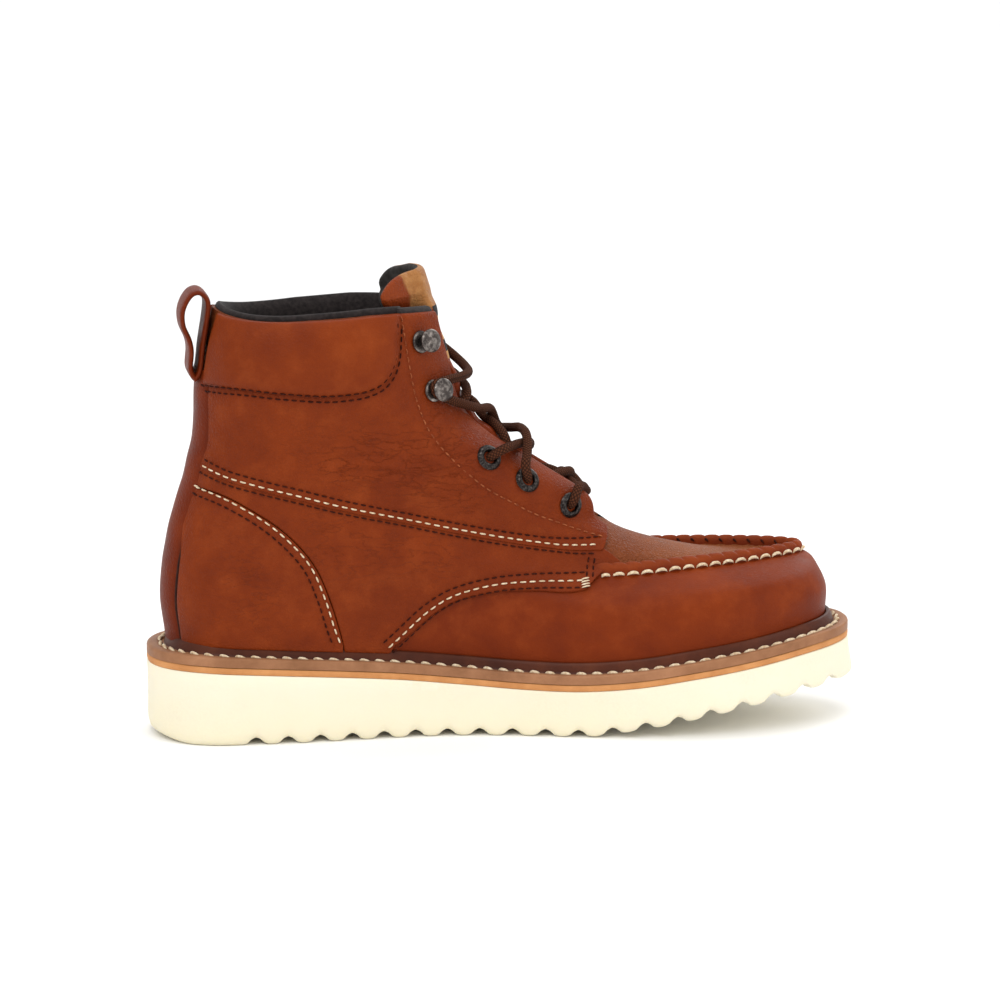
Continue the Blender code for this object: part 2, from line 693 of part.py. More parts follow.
def make_counter(side, name):
    """Heel counter, from the strip to the curved seam."""
    higher = end_on_strip(seam(COUNTER_SEAM, side, 11), side)
    low_row = row_at_height(np.array([side * 0.95]), WELT_RIDGE + GAP)
    start = strip_edge(low_row, side)
    corner = surface(*strip_edge(low_row, side))[0][0]
    end = COUNTER_SEAM[-1][0] * SOLE_LENGTH - 0.0002
    lower = welt_line(corner, end, side, 11)
    lower[:, 0] = start[:, 0]
    return panel("counter_" + name, lower, higher, 4, LAP_GAP, COUNTER_THICK)


def make_quarter(side, name):
    """Lower quarter between counter, welt, vamp and long seam."""
    rear = end_on_strip(seam(COUNTER_SEAM, side, 8, 3 * GAP), side)
    rear[1] += -side * 0.0008
    front = seam(VAMP_SEAM, side, 9)
    middle = welt_line((COUNTER_SEAM[-1][0] + 0.004) * SOLE_LENGTH,
                       (VAMP_SEAM[0][0] - 0.006) * SOLE_LENGTH, side, 3)
    lower = join_seams(rear[:, :-1], middle, front)
    higher = end_on_strip(seam(LONG_SEAM, side, 60, -GAP), side)
    step = np.linalg.norm(np.diff(surface(*lower), axis=0), axis=1)
    x = surface(*lower)[:, 0]
    walked = np.concatenate([[0], np.cumsum(step)]) / step.sum()
    share = 0.25 * walked + 0.75 * (x - x[0]) / (x[-1] - x[0])
    at = share * (higher.shape[1] - 1)
    index = np.arange(higher.shape[1])
    higher = np.array([np.interp(at, index, higher[0]), np.interp(at, index, higher[1])])
    return panel("quarter_" + name, lower, higher, 3, LAP_GAP, QUARTER_THICK)


def throat_edge(rows, side, distance):
    """The edge of the throat at the given rows, at a walked distance from its middle."""
    rows = np.asarray(rows, float)
    return np.array([rows, from_front(rows, distance, side)])


def collar_line(row, side, count, start_distance):
    """Points along a loop from the heel strip's edge to the throat."""
    back = strip_edge([row], side)[1][0]
    front = from_front(np.array([row]), start_distance, side)[0]
    return np.array([np.full(count, float(row)), np.linspace(back, front, count)])


def make_shaft(side, name):
    """Upper quarter: from the long seam to the collar and the throat's edge."""
    lower = spread(end_on_strip(seam(LONG_SEAM, side, 40, GAP), side), 26)
    top = collar_line(ROW["collar"], side, 12, THROAT_HALF)
    front = throat_edge([14.2, 13.4, 12.7, 12.1, 11.6, 11.1, 10.6, 10.2, 9.8, 9.5, 9.2, 8.95,
                         8.75, 8.55], side, THROAT_HALF)
    return panel("shaft_" + name, lower, join_seams(top, front), 6, SHAFT_LAP, SHAFT_THICK)


def make_cuff(side, name):
    """Padded collar piece over the shaft."""
    lower = end_on_strip(seam(CUFF_SEAM, side, 12), side)
    back = strip_edge([ROW["collar"]], side)[1][0]
    front = lower[1][-1]
    reach = np.linspace(0, 1, 12)
    u = back + (front - back) * reach ** 0.9
    higher = np.array([np.full(12, ROW["collar"] - 0.03), u])
    base = SHAFT_THICK + SHAFT_LAP
    share = np.linspace(0, 1, 5)[:, None]
    v = lower[0] + (higher[0] - lower[0]) * share
    w = lower[1] + (higher[1] - lower[1]) * share
    along = np.linspace(0, 1, 12)[None, :]
    dome = np.clip(4 * share * (1 - share), 0, 1) ** 0.5 * np.clip(
        4 * along * (1 - along), 0, 1) ** 0.35
    inner = base + 2 * GAP
    outer = inner + CUFF_THICK + CUFF_PUFF * dome
    return slab("cuff_" + name, over(v, w, outer), over(v, w, np.full(v.shape, inner)),
                "leather")


def make_backstay():
    """Strip up the back of the heel, from the welt to the pull loop."""
    low = row_at_height(np.array([1.0]), WELT_RIDGE + GAP)[0]
    high = find_back_row(LOOP_PATH[0][1] * UPPER_HEIGHT) - 0.12
    rows = np.linspace(low + 0.02, high, 12)
    across = np.linspace(-1, 1, 5)
    v = np.repeat(rows[:, None], 5, 1)
    half = STRIP_WIDTH / 2 - GAP
    u = 1 + across[None, :] * half / half_girth(rows, 1)[:, None]
    crown = 1 - 0.35 * across[None, :] ** 2
    rise = LAP_GAP + STRIP_THICK * crown
    return slab("backstay", over(v, u, rise * np.ones_like(v)),
                over(v, u, np.full(v.shape, LAP_GAP)), "leather")


def find_back_row(height):
    """Row whose back point is at a height over the sole's top."""
    rows = np.linspace(0, len(LAST) - 1, 400)
    loop = loop_sizes(rows)
    return float(np.interp(height, loop["back_h"], rows))


def make_pull_loop():
    """Folded strap at the back: a closed band whose legs meet at the sewn foot."""
    path = []
    for behind, share in LOOP_PATH:
        row = find_back_row(share * UPPER_HEIGHT)
        loop = loop_sizes(np.array(row))
        path.append((loop["back"] - behind, seat(loop["back"]) + share * UPPER_HEIGHT))
    path = np.array(path)
    count = 26
    knots = np.arange(len(path) + 1, dtype=float)
    closed = np.concatenate([path, path[:1]])
    at = np.linspace(0, len(path), count, endpoint=False)
    line = np.column_stack([curve(knots, closed[:, 0], at), curve(knots, closed[:, 1], at)])
    along = np.roll(line, -1, 0) - np.roll(line, 1, 0)
    side = np.column_stack([along[:, 1], -along[:, 0]])
    side /= np.linalg.norm(side, axis=1, keepdims=True)
    half = LOOP_THICK / 2
    rings = []
    for centre, across in zip(line, side):
        a, b = centre + across * half, centre - across * half
        rings.append([(a[0], -LOOP_WIDTH / 2, a[1]), (a[0], LOOP_WIDTH / 2, a[1]),
                      (b[0], LOOP_WIDTH / 2, b[1]), (b[0], -LOOP_WIDTH / 2, b[1])])
    return tube_of_rings("pull_loop", np.array(rings), "leather", True)


def make_tongue():
    """Padded tongue: under the plug at its foot, crowned between the facings above."""
    rows = np.array([8.4, 8.8, 9.3, 9.9, 10.5, 11.3, 12.2, 13.2, 14.1, 15.0, 15.6, 15.9])
    across = np.array([-1, -0.8, -0.56, -0.42, -0.2, 0, 0.2, 0.42, 0.56, 0.8, 1])
    half = TONGUE_HALF * curve([8, 10, 12, 16], [0.72, 0.9, 1.0, 0.96], rows)
    v = np.repeat(rows[:, None], len(across), 1)
    top = (rows[-1] - rows[-2]) * 1.3 * np.abs(across) ** 2.4
    v[-1] -= top
    v[-2] -= top * 0.5
    u = np.zeros_like(v)
    for j, share in enumerate(across):
        side = 1 if share > 0 else -1
        u[:, j] = share * half / half_girth(v[:, j], side)
    under = WALL + TONGUE_CLEAR
    rise = np.clip((v - 9.9) / 0.7, 0, 1)
    crown = np.clip((0.5 - np.abs(across))[None, :] / 0.14, 0, 1)
    outer = -under * (1 - rise * crown)
    free = np.clip((v - 15.0) / 0.3, 0, 1)
    outer = outer * (1 - 0.6 * free)
    thick = TONGUE_THICK * (1 - 0.4 * np.abs(across)[None, :] ** 2)
    return slab("tongue", over(v, u, outer), over(v, u, outer - thick), "leather")


def make_collar_lining():
    """Padded lining inside the collar, standing a little over the leather."""
    rows = np.array([13.3, 14.2, 14.95, ROW["collar"] + LINING_STAND / 0.016])
    columns = 24
    t = np.linspace(-1, 1, columns + 1)
    v = np.repeat(rows[:, None], columns + 1, 1)
    u = np.zeros_like(v)
    for i, row in enumerate(rows):
        start_m = -from_front(np.array([row]), TONGUE_HALF + 0.003, -1)[0]
        start_l = from_front(np.array([row]), TONGUE_HALF + 0.003, 1)[0]
        reach = np.where(t < 0, 1 - start_m, 1 - start_l)
        turn = 1 + t * reach
        u[i] = np.where(turn > 1, turn - 2, turn)
    depth = LINING_THICK * np.array([0.4, 1.0, 1.0, 0.35])[:, None]
    outer = np.full(v.shape, -(WALL + GAP))
    inner = outer - depth
    outer[-1] -= 0.0006
    return slab("collar_lining", over(v, u, outer), over(v, u, inner), "dark")


def facing_point(row, side, back_from_edge):
    """Place and normal on the facing, back_from_edge behind the throat's edge."""
    u = from_front(np.array([row]), THROAT_HALF + back_from_edge, side)
    centre = over(np.array([row]), u, np.array([SHAFT_LAP + SHAFT_THICK]))[0]
    return Vector(centre), Vector(outward(np.array([row]), u)[0])


def make_eyelet(name, centre, normal):
    """Rolled rim with a short barrel through the facing."""
    depth = SHAFT_THICK + SHAFT_LAP + WALL
    profile = ((EYELET_HOLE, EYELET_RIM * 0.8), (EYELET_OUTER * 0.78, EYELET_RIM),
               (EYELET_OUTER, 0.0), (EYELET_BARREL, 0.0), (EYELET_BARREL, -depth),
               (EYELET_HOLE, -depth))
    frame = normal.to_track_quat("Z", "Y").to_matrix()
    rings = []
    for k in range(EYELET_SIDES):
        turn = 2 * math.pi * k / EYELET_SIDES
        ring = []
        for radius, height in profile:
            local = Vector((radius * math.cos(turn), radius * math.sin(turn), height))
            ring.append(centre + normal * (GAP + 0.0002) + frame @ local)
        rings.append(ring)
    return tube_of_rings(name, np.array(rings), "metal", True)


def make_hook(name, centre, normal, forward):
    """Speed hook: base plate, neck towards the throat, oval head over it."""
    upward = normal.cross(forward).normalized()
    stand = HOOK_STAND
    half = HOOK_WIDTH / 2
    path = ((-1.0, 0.09, 0.35), (-0.66, 0.09, 0.83), (0.0, 0.09, 1.0), (0.6, 0.10, 0.75),
            (0.95, 0.26, 0.42), (1.02, 0.50, 0.36), (0.92, 0.76, 0.42), (0.60, 0.90, 0.80),
            (0.0, 0.98, 1.0), (-0.66, 0.93, 0.80), (-1.02, 0.86, 0.35))
    points = [(a * half * 0.95, b * stand, c * half) for a, b, c in path]
    rings = []
    for k, (ahead, high, wide) in enumerate(points):
        before, after = points[max(k - 1, 0)], points[min(k + 1, len(points) - 1)]
        along = forward * (after[0] - before[0]) + normal * (after[1] - before[1])
        across = along.cross(upward).normalized() * (HOOK_PLATE / 2)
        middle = centre + forward * ahead + normal * (high + GAP + HOOK_PLATE * 0.3)
        rings.append([middle + across + upward * wide, middle + across - upward * wide,
                      middle - across - upward * wide, middle - across + upward * wide])
    return tube_of_rings(name, np.array(rings), "metal", False)


def lace_line(start, end, low, hump):
    """Route of one strand over the tongue from (row, distance, side) to (row, ...)."""
    t = np.linspace(0, 1, 8)
    row = start[0] + (end[0] - start[0]) * t
    walked = start[1] * start[2] + (end[1] * end[2] - start[1] * start[2]) * t
    u = np.where(walked < 0, walked / half_girth(row, -1), walked / half_girth(row, 1))
    end_lift = low[0] + (low[1] - low[0]) * t
    rise = end_lift + hump * np.exp(-((t - 0.5) / 0.17) ** 2)
    return over(row, u, rise)


def strand_mesh(name, line):
    """A strand as a mesh tube, its caps welded on."""
    shape = bpy.data.curves.new(name, "CURVE")
    shape.dimensions = "3D"
    shape.bevel_depth = LACE / 2
    shape.bevel_resolution = 1
    shape.use_fill_caps = True
    spline = shape.splines.new("POLY")
    spline.points.add(len(line) - 1)
    for point, place in zip(spline.points, line):
        point.co = (*place, 1.0)
    holder = bpy.data.objects.new(name + "_route", shape)
    parts.objects.link(holder)
    bpy.context.view_layer.update()
    mesh = bpy.data.meshes.new_from_object(
        holder.evaluated_get(bpy.context.evaluated_depsgraph_get()))
    bpy.data.objects.remove(holder)
    body = bmesh.new()
    body.from_mesh(mesh)
    bmesh.ops.remove_doubles(body, verts=body.verts, dist=1e-6)
    bmesh.ops.recalc_face_normals(body, faces=body.faces)
    body.to_mesh(mesh)
    body.free()
    return mesh


def make_lace(name, lines):
    """One crossing: its strands joined where they lie on each other."""
    made = bpy.data.objects.new(name, strand_mesh(name, lines[0]))
    parts.objects.link(made)
    made.data.materials.clear()
    made.data.materials.append(material("lace"))
    for line in lines[1:]:
        other = bpy.data.objects.new(name + "_over", strand_mesh(name + "_over", line))
        cutters.objects.link(other)
        other.hide_render = True
        other.display_type = "WIRE"
        join = made.modifiers.new("join", "BOOLEAN")
        join.operation = "UNION"
        join.object = other
    made.data.shade_smooth()
    return made


def make_laces():
    """A bar at the lowest eyelets and a crossing at each step up to the hooks."""
    over_panel = SHAFT_LAP + SHAFT_THICK + LACE / 2 + 0.0006
    over_tongue = [LACE / 2 + clearance for clearance in LACE_CLEAR]
    clear = EYELET_OUTER + 0.0012
    outside = [THROAT_HALF + behind - clear for behind in EYELET_SET]
    inside = THROAT_HALF - LACE / 2 - 0.0012
    hump = LACE - 0.0006
    rows = EYELET_ROWS + HOOK_ROWS
    make_lace("lace_bar", [lace_line((rows[0], outside[0], -1), (rows[0], outside[0], 1),
                                     (over_panel, over_panel), 0.0008)])
    steps = (("lace_cross_1", rows[0] + 0.20, rows[1] - 0.22, inside, inside, over_tongue[0]),
             ("lace_cross_2", rows[1], rows[2], outside[1], outside[2], over_panel),
             ("lace_cross_3", rows[2] + 0.28, rows[3] - 0.62, inside, inside, over_tongue[1]),
             ("lace_cross_4", rows[3] + 0.05, rows[4] - 0.1, inside, inside, over_tongue[2]))
    for name, low_row, high_row, low_reach, high_reach, lift in steps:
        first = lace_line((low_row, low_reach, -1), (high_row, high_reach, 1),
                          (lift, lift), 0.0)
        second = lace_line((low_row, low_reach, 1), (high_row, high_reach, -1),
                           (lift, lift), hump)
        make_lace(name, [first, second])


def drill(target, centre, normal, name):
    """A hole for an eyelet's barrel through a layer."""
    bpy.ops.mesh.primitive_cylinder_add(vertices=EYELET_SIDES, radius=EYELET_BARREL + GAP,
                                        depth=EYELET_OUTER * 3)
    cutter = bpy.context.active_object
    for held in list(cutter.users_collection):
        held.objects.unlink(cutter)
    cutters.objects.link(cutter)
    cutter.name = name
    cutter.rotation_mode = "QUATERNION"
    cutter.rotation_quaternion = normal.to_track_quat("Z", "Y")
    cutter.location = centre
    cutter.hide_render = True
    cutter.display_type = "WIRE"
    for layer in target:
        cut = layer.modifiers.new(name, "BOOLEAN")
        cut.operation = "DIFFERENCE"
        cut.object = cutter
        cut.solver = "MANIFOLD"


for old in list(bpy.data.objects):
    bpy.data.objects.remove(old)
parts = bpy.data.collections.new("work_boot")
cutters = bpy.data.collections.new("cutters")
bpy.context.scene.collection.children.link(parts)
bpy.context.scene.collection.children.link(cutters)

make_outsole()
make_midsole()
make_insole()
make_welt()
upper = make_upper()
make_tongue()
make_collar_lining()
for side_sign, side_name in ((-1, "inner"), (1, "outer")):
    make_counter(side_sign, side_name)
    make_quarter(side_sign, side_name)
    shaft = make_shaft(side_sign, side_name)
    make_cuff(side_sign, side_name)
    for number, eyelet_row in enumerate(EYELET_ROWS, 1):
        spot, facing = facing_point(eyelet_row, side_sign, EYELET_SET[number - 1])
        label = "eyelet_%s_%d" % (side_name, number)
        make_eyelet(label, spot, facing)
        drill((upper, shaft), spot, facing, label + "_hole")
    for number, hook_row in enumerate(HOOK_ROWS, 1):
        spot, facing = facing_point(hook_row, side_sign, HOOK_SET)
        spot -= facing * HOOK_SINK[number - 1]
        ahead_u = from_front(np.array([hook_row]), THROAT_HALF, side_sign)
        ahead = Vector(over(np.array([hook_row]), ahead_u, np.array([0.0]))[0]) - spot
        ahead = (ahead - facing * ahead.dot(facing)).normalized()
        make_hook("hook_%s_%d" % (side_name, number), spot, facing, ahead)
make_backstay()
make_pull_loop()
make_laces()
for made_part in list(parts.objects) + list(cutters.objects):
    made_part.location += Vector(CENTRE)
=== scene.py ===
"""Looks of a left wedge sole work boot with a moc toe, built round its solids.

Metres, +Z up, toe along +X, inner side of the foot along -Y. The inner side faces the camera.
"""

import math
import bmesh
import bpy
import numpy as np
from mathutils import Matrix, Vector


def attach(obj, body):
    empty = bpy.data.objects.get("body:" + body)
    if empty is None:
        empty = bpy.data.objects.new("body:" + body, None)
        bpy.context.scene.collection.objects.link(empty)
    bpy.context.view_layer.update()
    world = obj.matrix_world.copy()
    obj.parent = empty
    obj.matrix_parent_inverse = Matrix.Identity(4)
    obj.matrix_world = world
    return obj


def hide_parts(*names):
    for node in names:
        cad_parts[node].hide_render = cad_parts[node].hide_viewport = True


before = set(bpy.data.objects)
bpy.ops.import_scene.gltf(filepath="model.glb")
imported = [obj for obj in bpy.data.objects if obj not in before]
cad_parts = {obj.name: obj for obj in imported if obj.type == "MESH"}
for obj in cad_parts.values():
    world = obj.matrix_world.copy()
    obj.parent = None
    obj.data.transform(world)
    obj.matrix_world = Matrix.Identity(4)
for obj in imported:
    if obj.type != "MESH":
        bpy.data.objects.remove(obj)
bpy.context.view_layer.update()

# Driving sizes, as in the solids
SOLE_LENGTH = 0.303
BALL_WIDTH = 0.105
UPPER_HEIGHT = 0.150
HEEL_STACK = 0.0315
TOE_SPRING = 0.0196
MIDSOLE_THICK = 0.0025
GAP = 0.0003
CENTRE = np.array((-0.00104, -0.00246, 0.0))
LUG_PITCH = 0.0136
LUG_DEPTH = 0.0031
LUG_START = -0.1085
LUG_END = 0.139
TOE_FLARE = 0.0025
TOE_SWING = 0.004
WELT_RIDGE = 0.0088
WALL = 0.0022
QUARTER_OUT = 0.0020
COUNTER_OUT = 0.0022
SHAFT_OUT = 0.0027
CUFF_PUFF = 0.0024
STRIP_THICK = 0.0034
STRIP_WIDTH = 0.029
RIDGE_HEIGHT = 0.0044
RIDGE_WIDTH = 0.0036
THROAT_HALF = 0.015
TONGUE_THICK = 0.0042
TONGUE_HALF = 0.029
LINING_THICK = 0.0034
LOOP_WIDTH = 0.023
LOOP_THICK = 0.0025
EYELET_SET = (0.0135, 0.0230, 0.0242)
HOOK_SET = 0.0150
LACE = 0.0040

SOLE_PROFILE = np.array([
    # along, tread, top
    (-0.500, 0.180, 1.000), (-0.440, 0.000, 0.994), (-0.370, 0.000, 0.957),
    (-0.264, 0.000, 0.890), (-0.158, 0.000, 0.803), (-0.066, 0.000, 0.708),
    (0.016, 0.000, 0.643), (0.092, 0.000, 0.629), (0.165, 0.148, 0.686),
    (0.251, 0.400, 0.813), (0.340, 0.665, 0.940), (0.422, 0.870, 1.054),
    (0.510, 1.000, 1.120)])
LUG_FORM = np.array(((0.08, 0.0), (0.22, 0.16), (0.36, 0.72), (0.50, 1.0), (0.64, 0.72),
                     (0.78, 0.16), (0.92, 0.0)))

# Loops of the last, from the feather edge up, in shares of the driving sizes
LAST_COLUMNS = ("back", "back_h", "front", "front_h", "back_round", "round_m", "round_l",
                "heel_m", "waist_m", "ball_m", "heel_l", "waist_l", "ball_l",
                "follow", "point", "sag")
LAST = (
    ("feather", -.459, .000, .465, .000, .089, .211, .297,
     .257, .219, .405, .262, .281, .448, 1.00, 2.15, .000),
    ("joint", -.463, .073, .467, .067, .092, .205, .290,
     .269, .233, .419, .272, .295, .462, 1.00, 2.15, .000),
    ("bulge", -.468, .160, .467, .131, .096, .198, .284,
     .278, .248, .429, .282, .305, .471, 0.97, 2.15, .000),
    ("wall", -.465, .247, .456, .185, .099, .198, .277,
     .279, .260, .405, .282, .305, .448, 0.85, 2.10, .000),
    ("shoulder", -.460, .307, .445, .217, .102, .231, .290,
     .275, .265, .329, .278, .299, .371, 0.75, 1.90, .000),
    ("ridge", -.455, .357, .427, .232, .106, .310, .310,
     .270, .265, .281, .273, .295, .300, 0.68, 1.55, .000),
    ("plug_toe", -.449, .400, .396, .233, .109, .284, .284,
     .267, .261, .252, .269, .290, .271, 0.60, 1.60, .000),
    ("plug_mid", -.442, .447, .317, .267, .112, .224, .224,
     .265, .257, .243, .267, .280, .257, 0.45, 1.70, .000),
    ("plug_back", -.434, .497, .224, .333, .116, .172, .172,
     .269, .257, .238, .270, .275, .248, 0.30, 1.80, .000),
    ("throat", -.428, .550, .152, .413, .122, .145, .152,
     .276, .267, .248, .278, .278, .255, 0.15, 1.90, .000),
    ("lace_1", -.421, .607, .132, .493, .129, .152, .158,
     .290, .282, .262, .291, .287, .269, 0.05, 2.00, .000),
    ("lace_2", -.418, .673, .059, .593, .139, .145, .149,
     .310, .306, .276, .311, .310, .281, 0.00, 2.05, .000),
    ("lace_3", -.417, .747, -.013, .674, .145, .142, .145,
     .324, .324, .295, .325, .328, .298, 0.00, 2.05, .000),
    ("instep", -.414, .827, -.056, .757, .149, .142, .145,
     .333, .335, .314, .334, .338, .317, 0.00, 2.05, .007),
    ("hooks", -.410, .907, -.076, .899, .149, .145, .145,
     .328, .331, .322, .329, .333, .324, 0.00, 2.05, .015),
    ("collar", -.401, 1.003, -.094, 1.042, .149, .142, .142,
     .318, .320, .318, .319, .322, .320, 0.00, 2.05, .033),
    ("brow", -.395, 1.100, -.111, 1.150, .149, .142, .142,
     .315, .318, .318, .316, .320, .320, 0.00, 2.05, .033),
)
ROW = {loop[0]: place for place, loop in enumerate(LAST)}
SOLE_OUTLINE = {
    "back": -0.500, "front": 0.500, "back_round": 0.115, "round_m": 0.264, "round_l": 0.383,
    "heel_m": 0.324, "waist_m": 0.290, "ball_m": 0.476,
    "heel_l": 0.329, "waist_l": 0.348, "ball_l": 0.524, "point": 2.15,
}
WIDTH_AT = {-1: (0, 0.17, 0.42, 0.72, 1.0), 1: (0, 0.17, 0.42, 0.63, 1.0)}
BACK_POINT = 2.15
ARC_ENDS = (0.34, 0.72)
END_WIDTHS = (0.995, 0.985)

# Edges of the pieces seen from the side: share of SOLE_LENGTH, share of UPPER_HEIGHT
LONG_EDGE = ((-.424, .540), (-.390, .514), (-.356, .499), (-.305, .478), (-.244, .452),
             (-.135, .420), (-.043, .396), (.056, .372), (.130, .350))
COUNTER_EDGE = ((-.438, .482), (-.399, .474), (-.352, .430), (-.306, .364), (-.276, .294),
                (-.253, .191), (-.241, .114), (-.235, .068))
VAMP_EDGE = ((-.167, .063), (-.150, .090), (-.106, .172), (-.079, .209), (-.046, .234),
             (-.009, .252), (.035, .258), (.086, .256), (.104, .262), (.112, .276))
CUFF_EDGE = ((-.412, .772), (-.370, .776), (-.317, .775), (-.234, .780), (-.203, .793),
             (-.183, .812), (-.170, .843), (-.164, .879), (-.161, .936), (-.160, .985))

# Sewn rows in the same shares
LONG_ROW = ((-.422, .550), (-.390, .527), (-.356, .513), (-.305, .493), (-.244, .467),
            (-.135, .435), (-.043, .411), (.056, .387), (.124, .368))
COUNTER_ROW = ((-.436, .487), (-.399, .469), (-.352, .423), (-.310, .358), (-.281, .292),
               (-.259, .191), (-.247, .114), (-.239, .072))
VAMP_ROW = ((-.173, .063), (-.156, .097), (-.112, .186), (-.085, .226), (-.052, .254),
            (-.013, .274), (.035, .283), (.106, .281))
CUFF_ROW = ((-.414, .772), (-.370, .780), (-.317, .779), (-.234, .784), (-.205, .797),
            (-.186, .816), (-.174, .845), (-.168, .879), (-.165, .936), (-.164, .985))
TAB_ROW = ((.1135, .284), (.1200, .350))
FACING_ROW = ((14.91, -.278), (14.01, -.280), (12.90, -.278), (11.94, -.300), (11.13, -.320),
              (10.11, -.320), (9.51, -.258), (8.91, -.188), (8.13, -.152))

RIDGE_FADE = (0.112, 0.120)
LOOP_PATH = ((.0042, .785), (.0024, .812), (.0020, .880), (.0020, .950), (.0027, .996),
             (.0045, 1.018), (.0073, 1.029), (.0102, 1.022), (.0122, .998), (.0127, .968),
             (.0112, .932), (.0080, .895), (.0066, .862), (.0064, .812))
EYELET_ROWS = (9.69, 10.44, 11.13)
HOOK_ROWS = (13.32, 14.31)

# Stitches: pitch, length, thickness
SEAM_STITCH = (0.0040, 0.0028, 0.00072)
DARK_STITCH = (0.0034, 0.0025, 0.00066)
SADDLE_STITCH = (0.0062, 0.0053, 0.0014)
WELT_STITCH = (0.0066, 0.0050, 0.0015)

# Camera on the photograph's line of sight
CAMERA_TURN = math.radians(-9.0)
CAMERA_RISE = math.radians(9.8)
CAMERA_FAR = 1.6
CAMERA_LENS = 134.8
CAMERA_AIM = Vector((0, 0, 0.0957)) + Vector(CENTRE)


def cubic(t, step, start, end, start_slope, end_slope):
    """Hermite cubic: value at share t of a step, from both ends' values and slopes."""
    return ((1 + 2 * t) * (1 - t) ** 2 * start + t * (1 - t) ** 2 * step * start_slope
            + t * t * (3 - 2 * t) * end + t * t * (t - 1) * step * end_slope)


def unit(vectors):
    return vectors / np.linalg.norm(vectors, axis=-1, keepdims=True)


def walked_length(points):
    """Length walked along a line to each of its points."""
    return np.concatenate([[0], np.cumsum(np.linalg.norm(np.diff(points, axis=0), axis=1))])


def curve(knots, values, x, level=False):
    """Cubic through the knots with weighted mean slopes; level keeps it between them."""
    knots = np.asarray(knots, float)
    values = np.asarray(values, float)
    step = np.diff(knots)
    rise = np.diff(values) / step
    slope = np.empty_like(values)
    slope[0], slope[-1] = rise[0], rise[-1]
    slope[1:-1] = (rise[:-1] * step[1:] + rise[1:] * step[:-1]) / (step[:-1] + step[1:])
    if level:
        slope[1:-1] = np.where(rise[:-1] * rise[1:] > 0, slope[1:-1], 0)
    x = np.clip(x, knots[0], knots[-1])
    i = np.clip(np.searchsorted(knots, x, side="right") - 1, 0, len(step) - 1)
    t = (x - knots[i]) / step[i]
    return cubic(t, step[i], values[i], values[i + 1], slope[i], slope[i + 1])


def smooth_path(points, count):
    """Smooth line through 3D points: each coordinate is a cubic of the walked length."""
    points = np.asarray(points, float)
    length = walked_length(points)
    at = np.linspace(0, length[-1], count)
    return np.column_stack([curve(length, points[:, i], at) for i in range(points.shape[1])])


def tread_height(x):
    return TOE_SPRING * curve(SOLE_PROFILE[:, 0], SOLE_PROFILE[:, 1], x / SOLE_LENGTH, True)


def wedge_top(x):
    return HEEL_STACK * curve(SOLE_PROFILE[:, 0], SOLE_PROFILE[:, 2], x / SOLE_LENGTH)


def seat(x):
    """Height of the sole's top, on which the welt and the upper stand."""
    return wedge_top(x) + GAP + MIDSOLE_THICK + GAP


def swing(x):
    """The toe turns a little to the inner side."""
    return -TOE_SWING * np.clip(x / (SOLE_LENGTH / 2) - 0.12, 0, 1) ** 2


LAST_TABLE = np.array([loop[1:] for loop in LAST])
LAST_UNITS = ([SOLE_LENGTH, UPPER_HEIGHT, SOLE_LENGTH, UPPER_HEIGHT] + [SOLE_LENGTH] * 3
              + [BALL_WIDTH] * 6 + [1, 1, UPPER_HEIGHT])
ARC_STEPS = np.linspace(0, 1, 289)


def loop_sizes(v):
    """Sizes in metres of the loop at row v, by column name."""
    rows = np.arange(len(LAST_TABLE), dtype=float)
    return {name: curve(rows, LAST_TABLE[:, i], v) * LAST_UNITS[i]
            for i, name in enumerate(LAST_COLUMNS)}


def outline_sizes(inset=0.0):
    """Sizes in metres of the sole's outline, drawn in by inset."""
    sizes = {}
    for name, share in SOLE_OUTLINE.items():
        if name == "point":
            sizes[name] = share
        elif name[:4] in ("heel", "wais", "ball"):
            sizes[name] = share * BALL_WIDTH - inset
        else:
            sizes[name] = share * SOLE_LENGTH
    sizes["back"] += inset
    sizes["front"] -= inset
    return sizes


def loop_x(loop, side, s):
    """x along a loop: s is 0 at the front and 1 at the back, with an arc at each end."""
    front_round = np.where(side < 0, loop["round_m"], loop["round_l"])
    front, back, back_round = loop["front"], loop["back"], loop["back_round"]
    into_front = np.clip(1 - s / ARC_ENDS[0], 0, 1) * math.pi / 2
    into_back = np.clip((s - ARC_ENDS[1]) / (1 - ARC_ENDS[1]), 0, 1) * math.pi / 2
    x_front = front - front_round + front_round * np.sin(into_front) ** (2 / loop["point"])
    x_back = back + back_round - back_round * np.sin(into_back) ** (2 / BACK_POINT)
    along = np.clip((s - ARC_ENDS[0]) / (ARC_ENDS[1] - ARC_ENDS[0]), 0, 1)
    x_side = front - front_round + (back + back_round - front + front_round) * along
    return np.where(s < ARC_ENDS[0], x_front, np.where(s > ARC_ENDS[1], x_back, x_side))


def side_width(loop, side, share):
    """Half width of one side before its ends are rounded: a cubic through the widths."""
    name = "_m" if side < 0 else "_l"
    knots = np.array(WIDTH_AT[side])
    step = np.diff(knots)
    values = [loop["heel" + name] * END_WIDTHS[0], loop["heel" + name],
              loop["waist" + name], loop["ball" + name], loop["ball" + name] * END_WIDTHS[1]]
    rise = [(values[j + 1] - values[j]) / step[j] for j in range(4)]
    slope = [rise[0], rise[0] * 0]
    slope += [(rise[j - 1] * step[j] + rise[j] * step[j - 1]) / (step[j - 1] + step[j])
              for j in (2, 3)]
    slope.append(rise[3])
    width = share * 0.0
    for j in range(4):
        t = (share - knots[j]) / step[j]
        piece = cubic(t, step[j], values[j], values[j + 1], slope[j], slope[j + 1])
        here = (share <= knots[j + 1]) & ((share > knots[j]) if j else (share >= 0))
        width = np.where(here, piece, width)
    return width


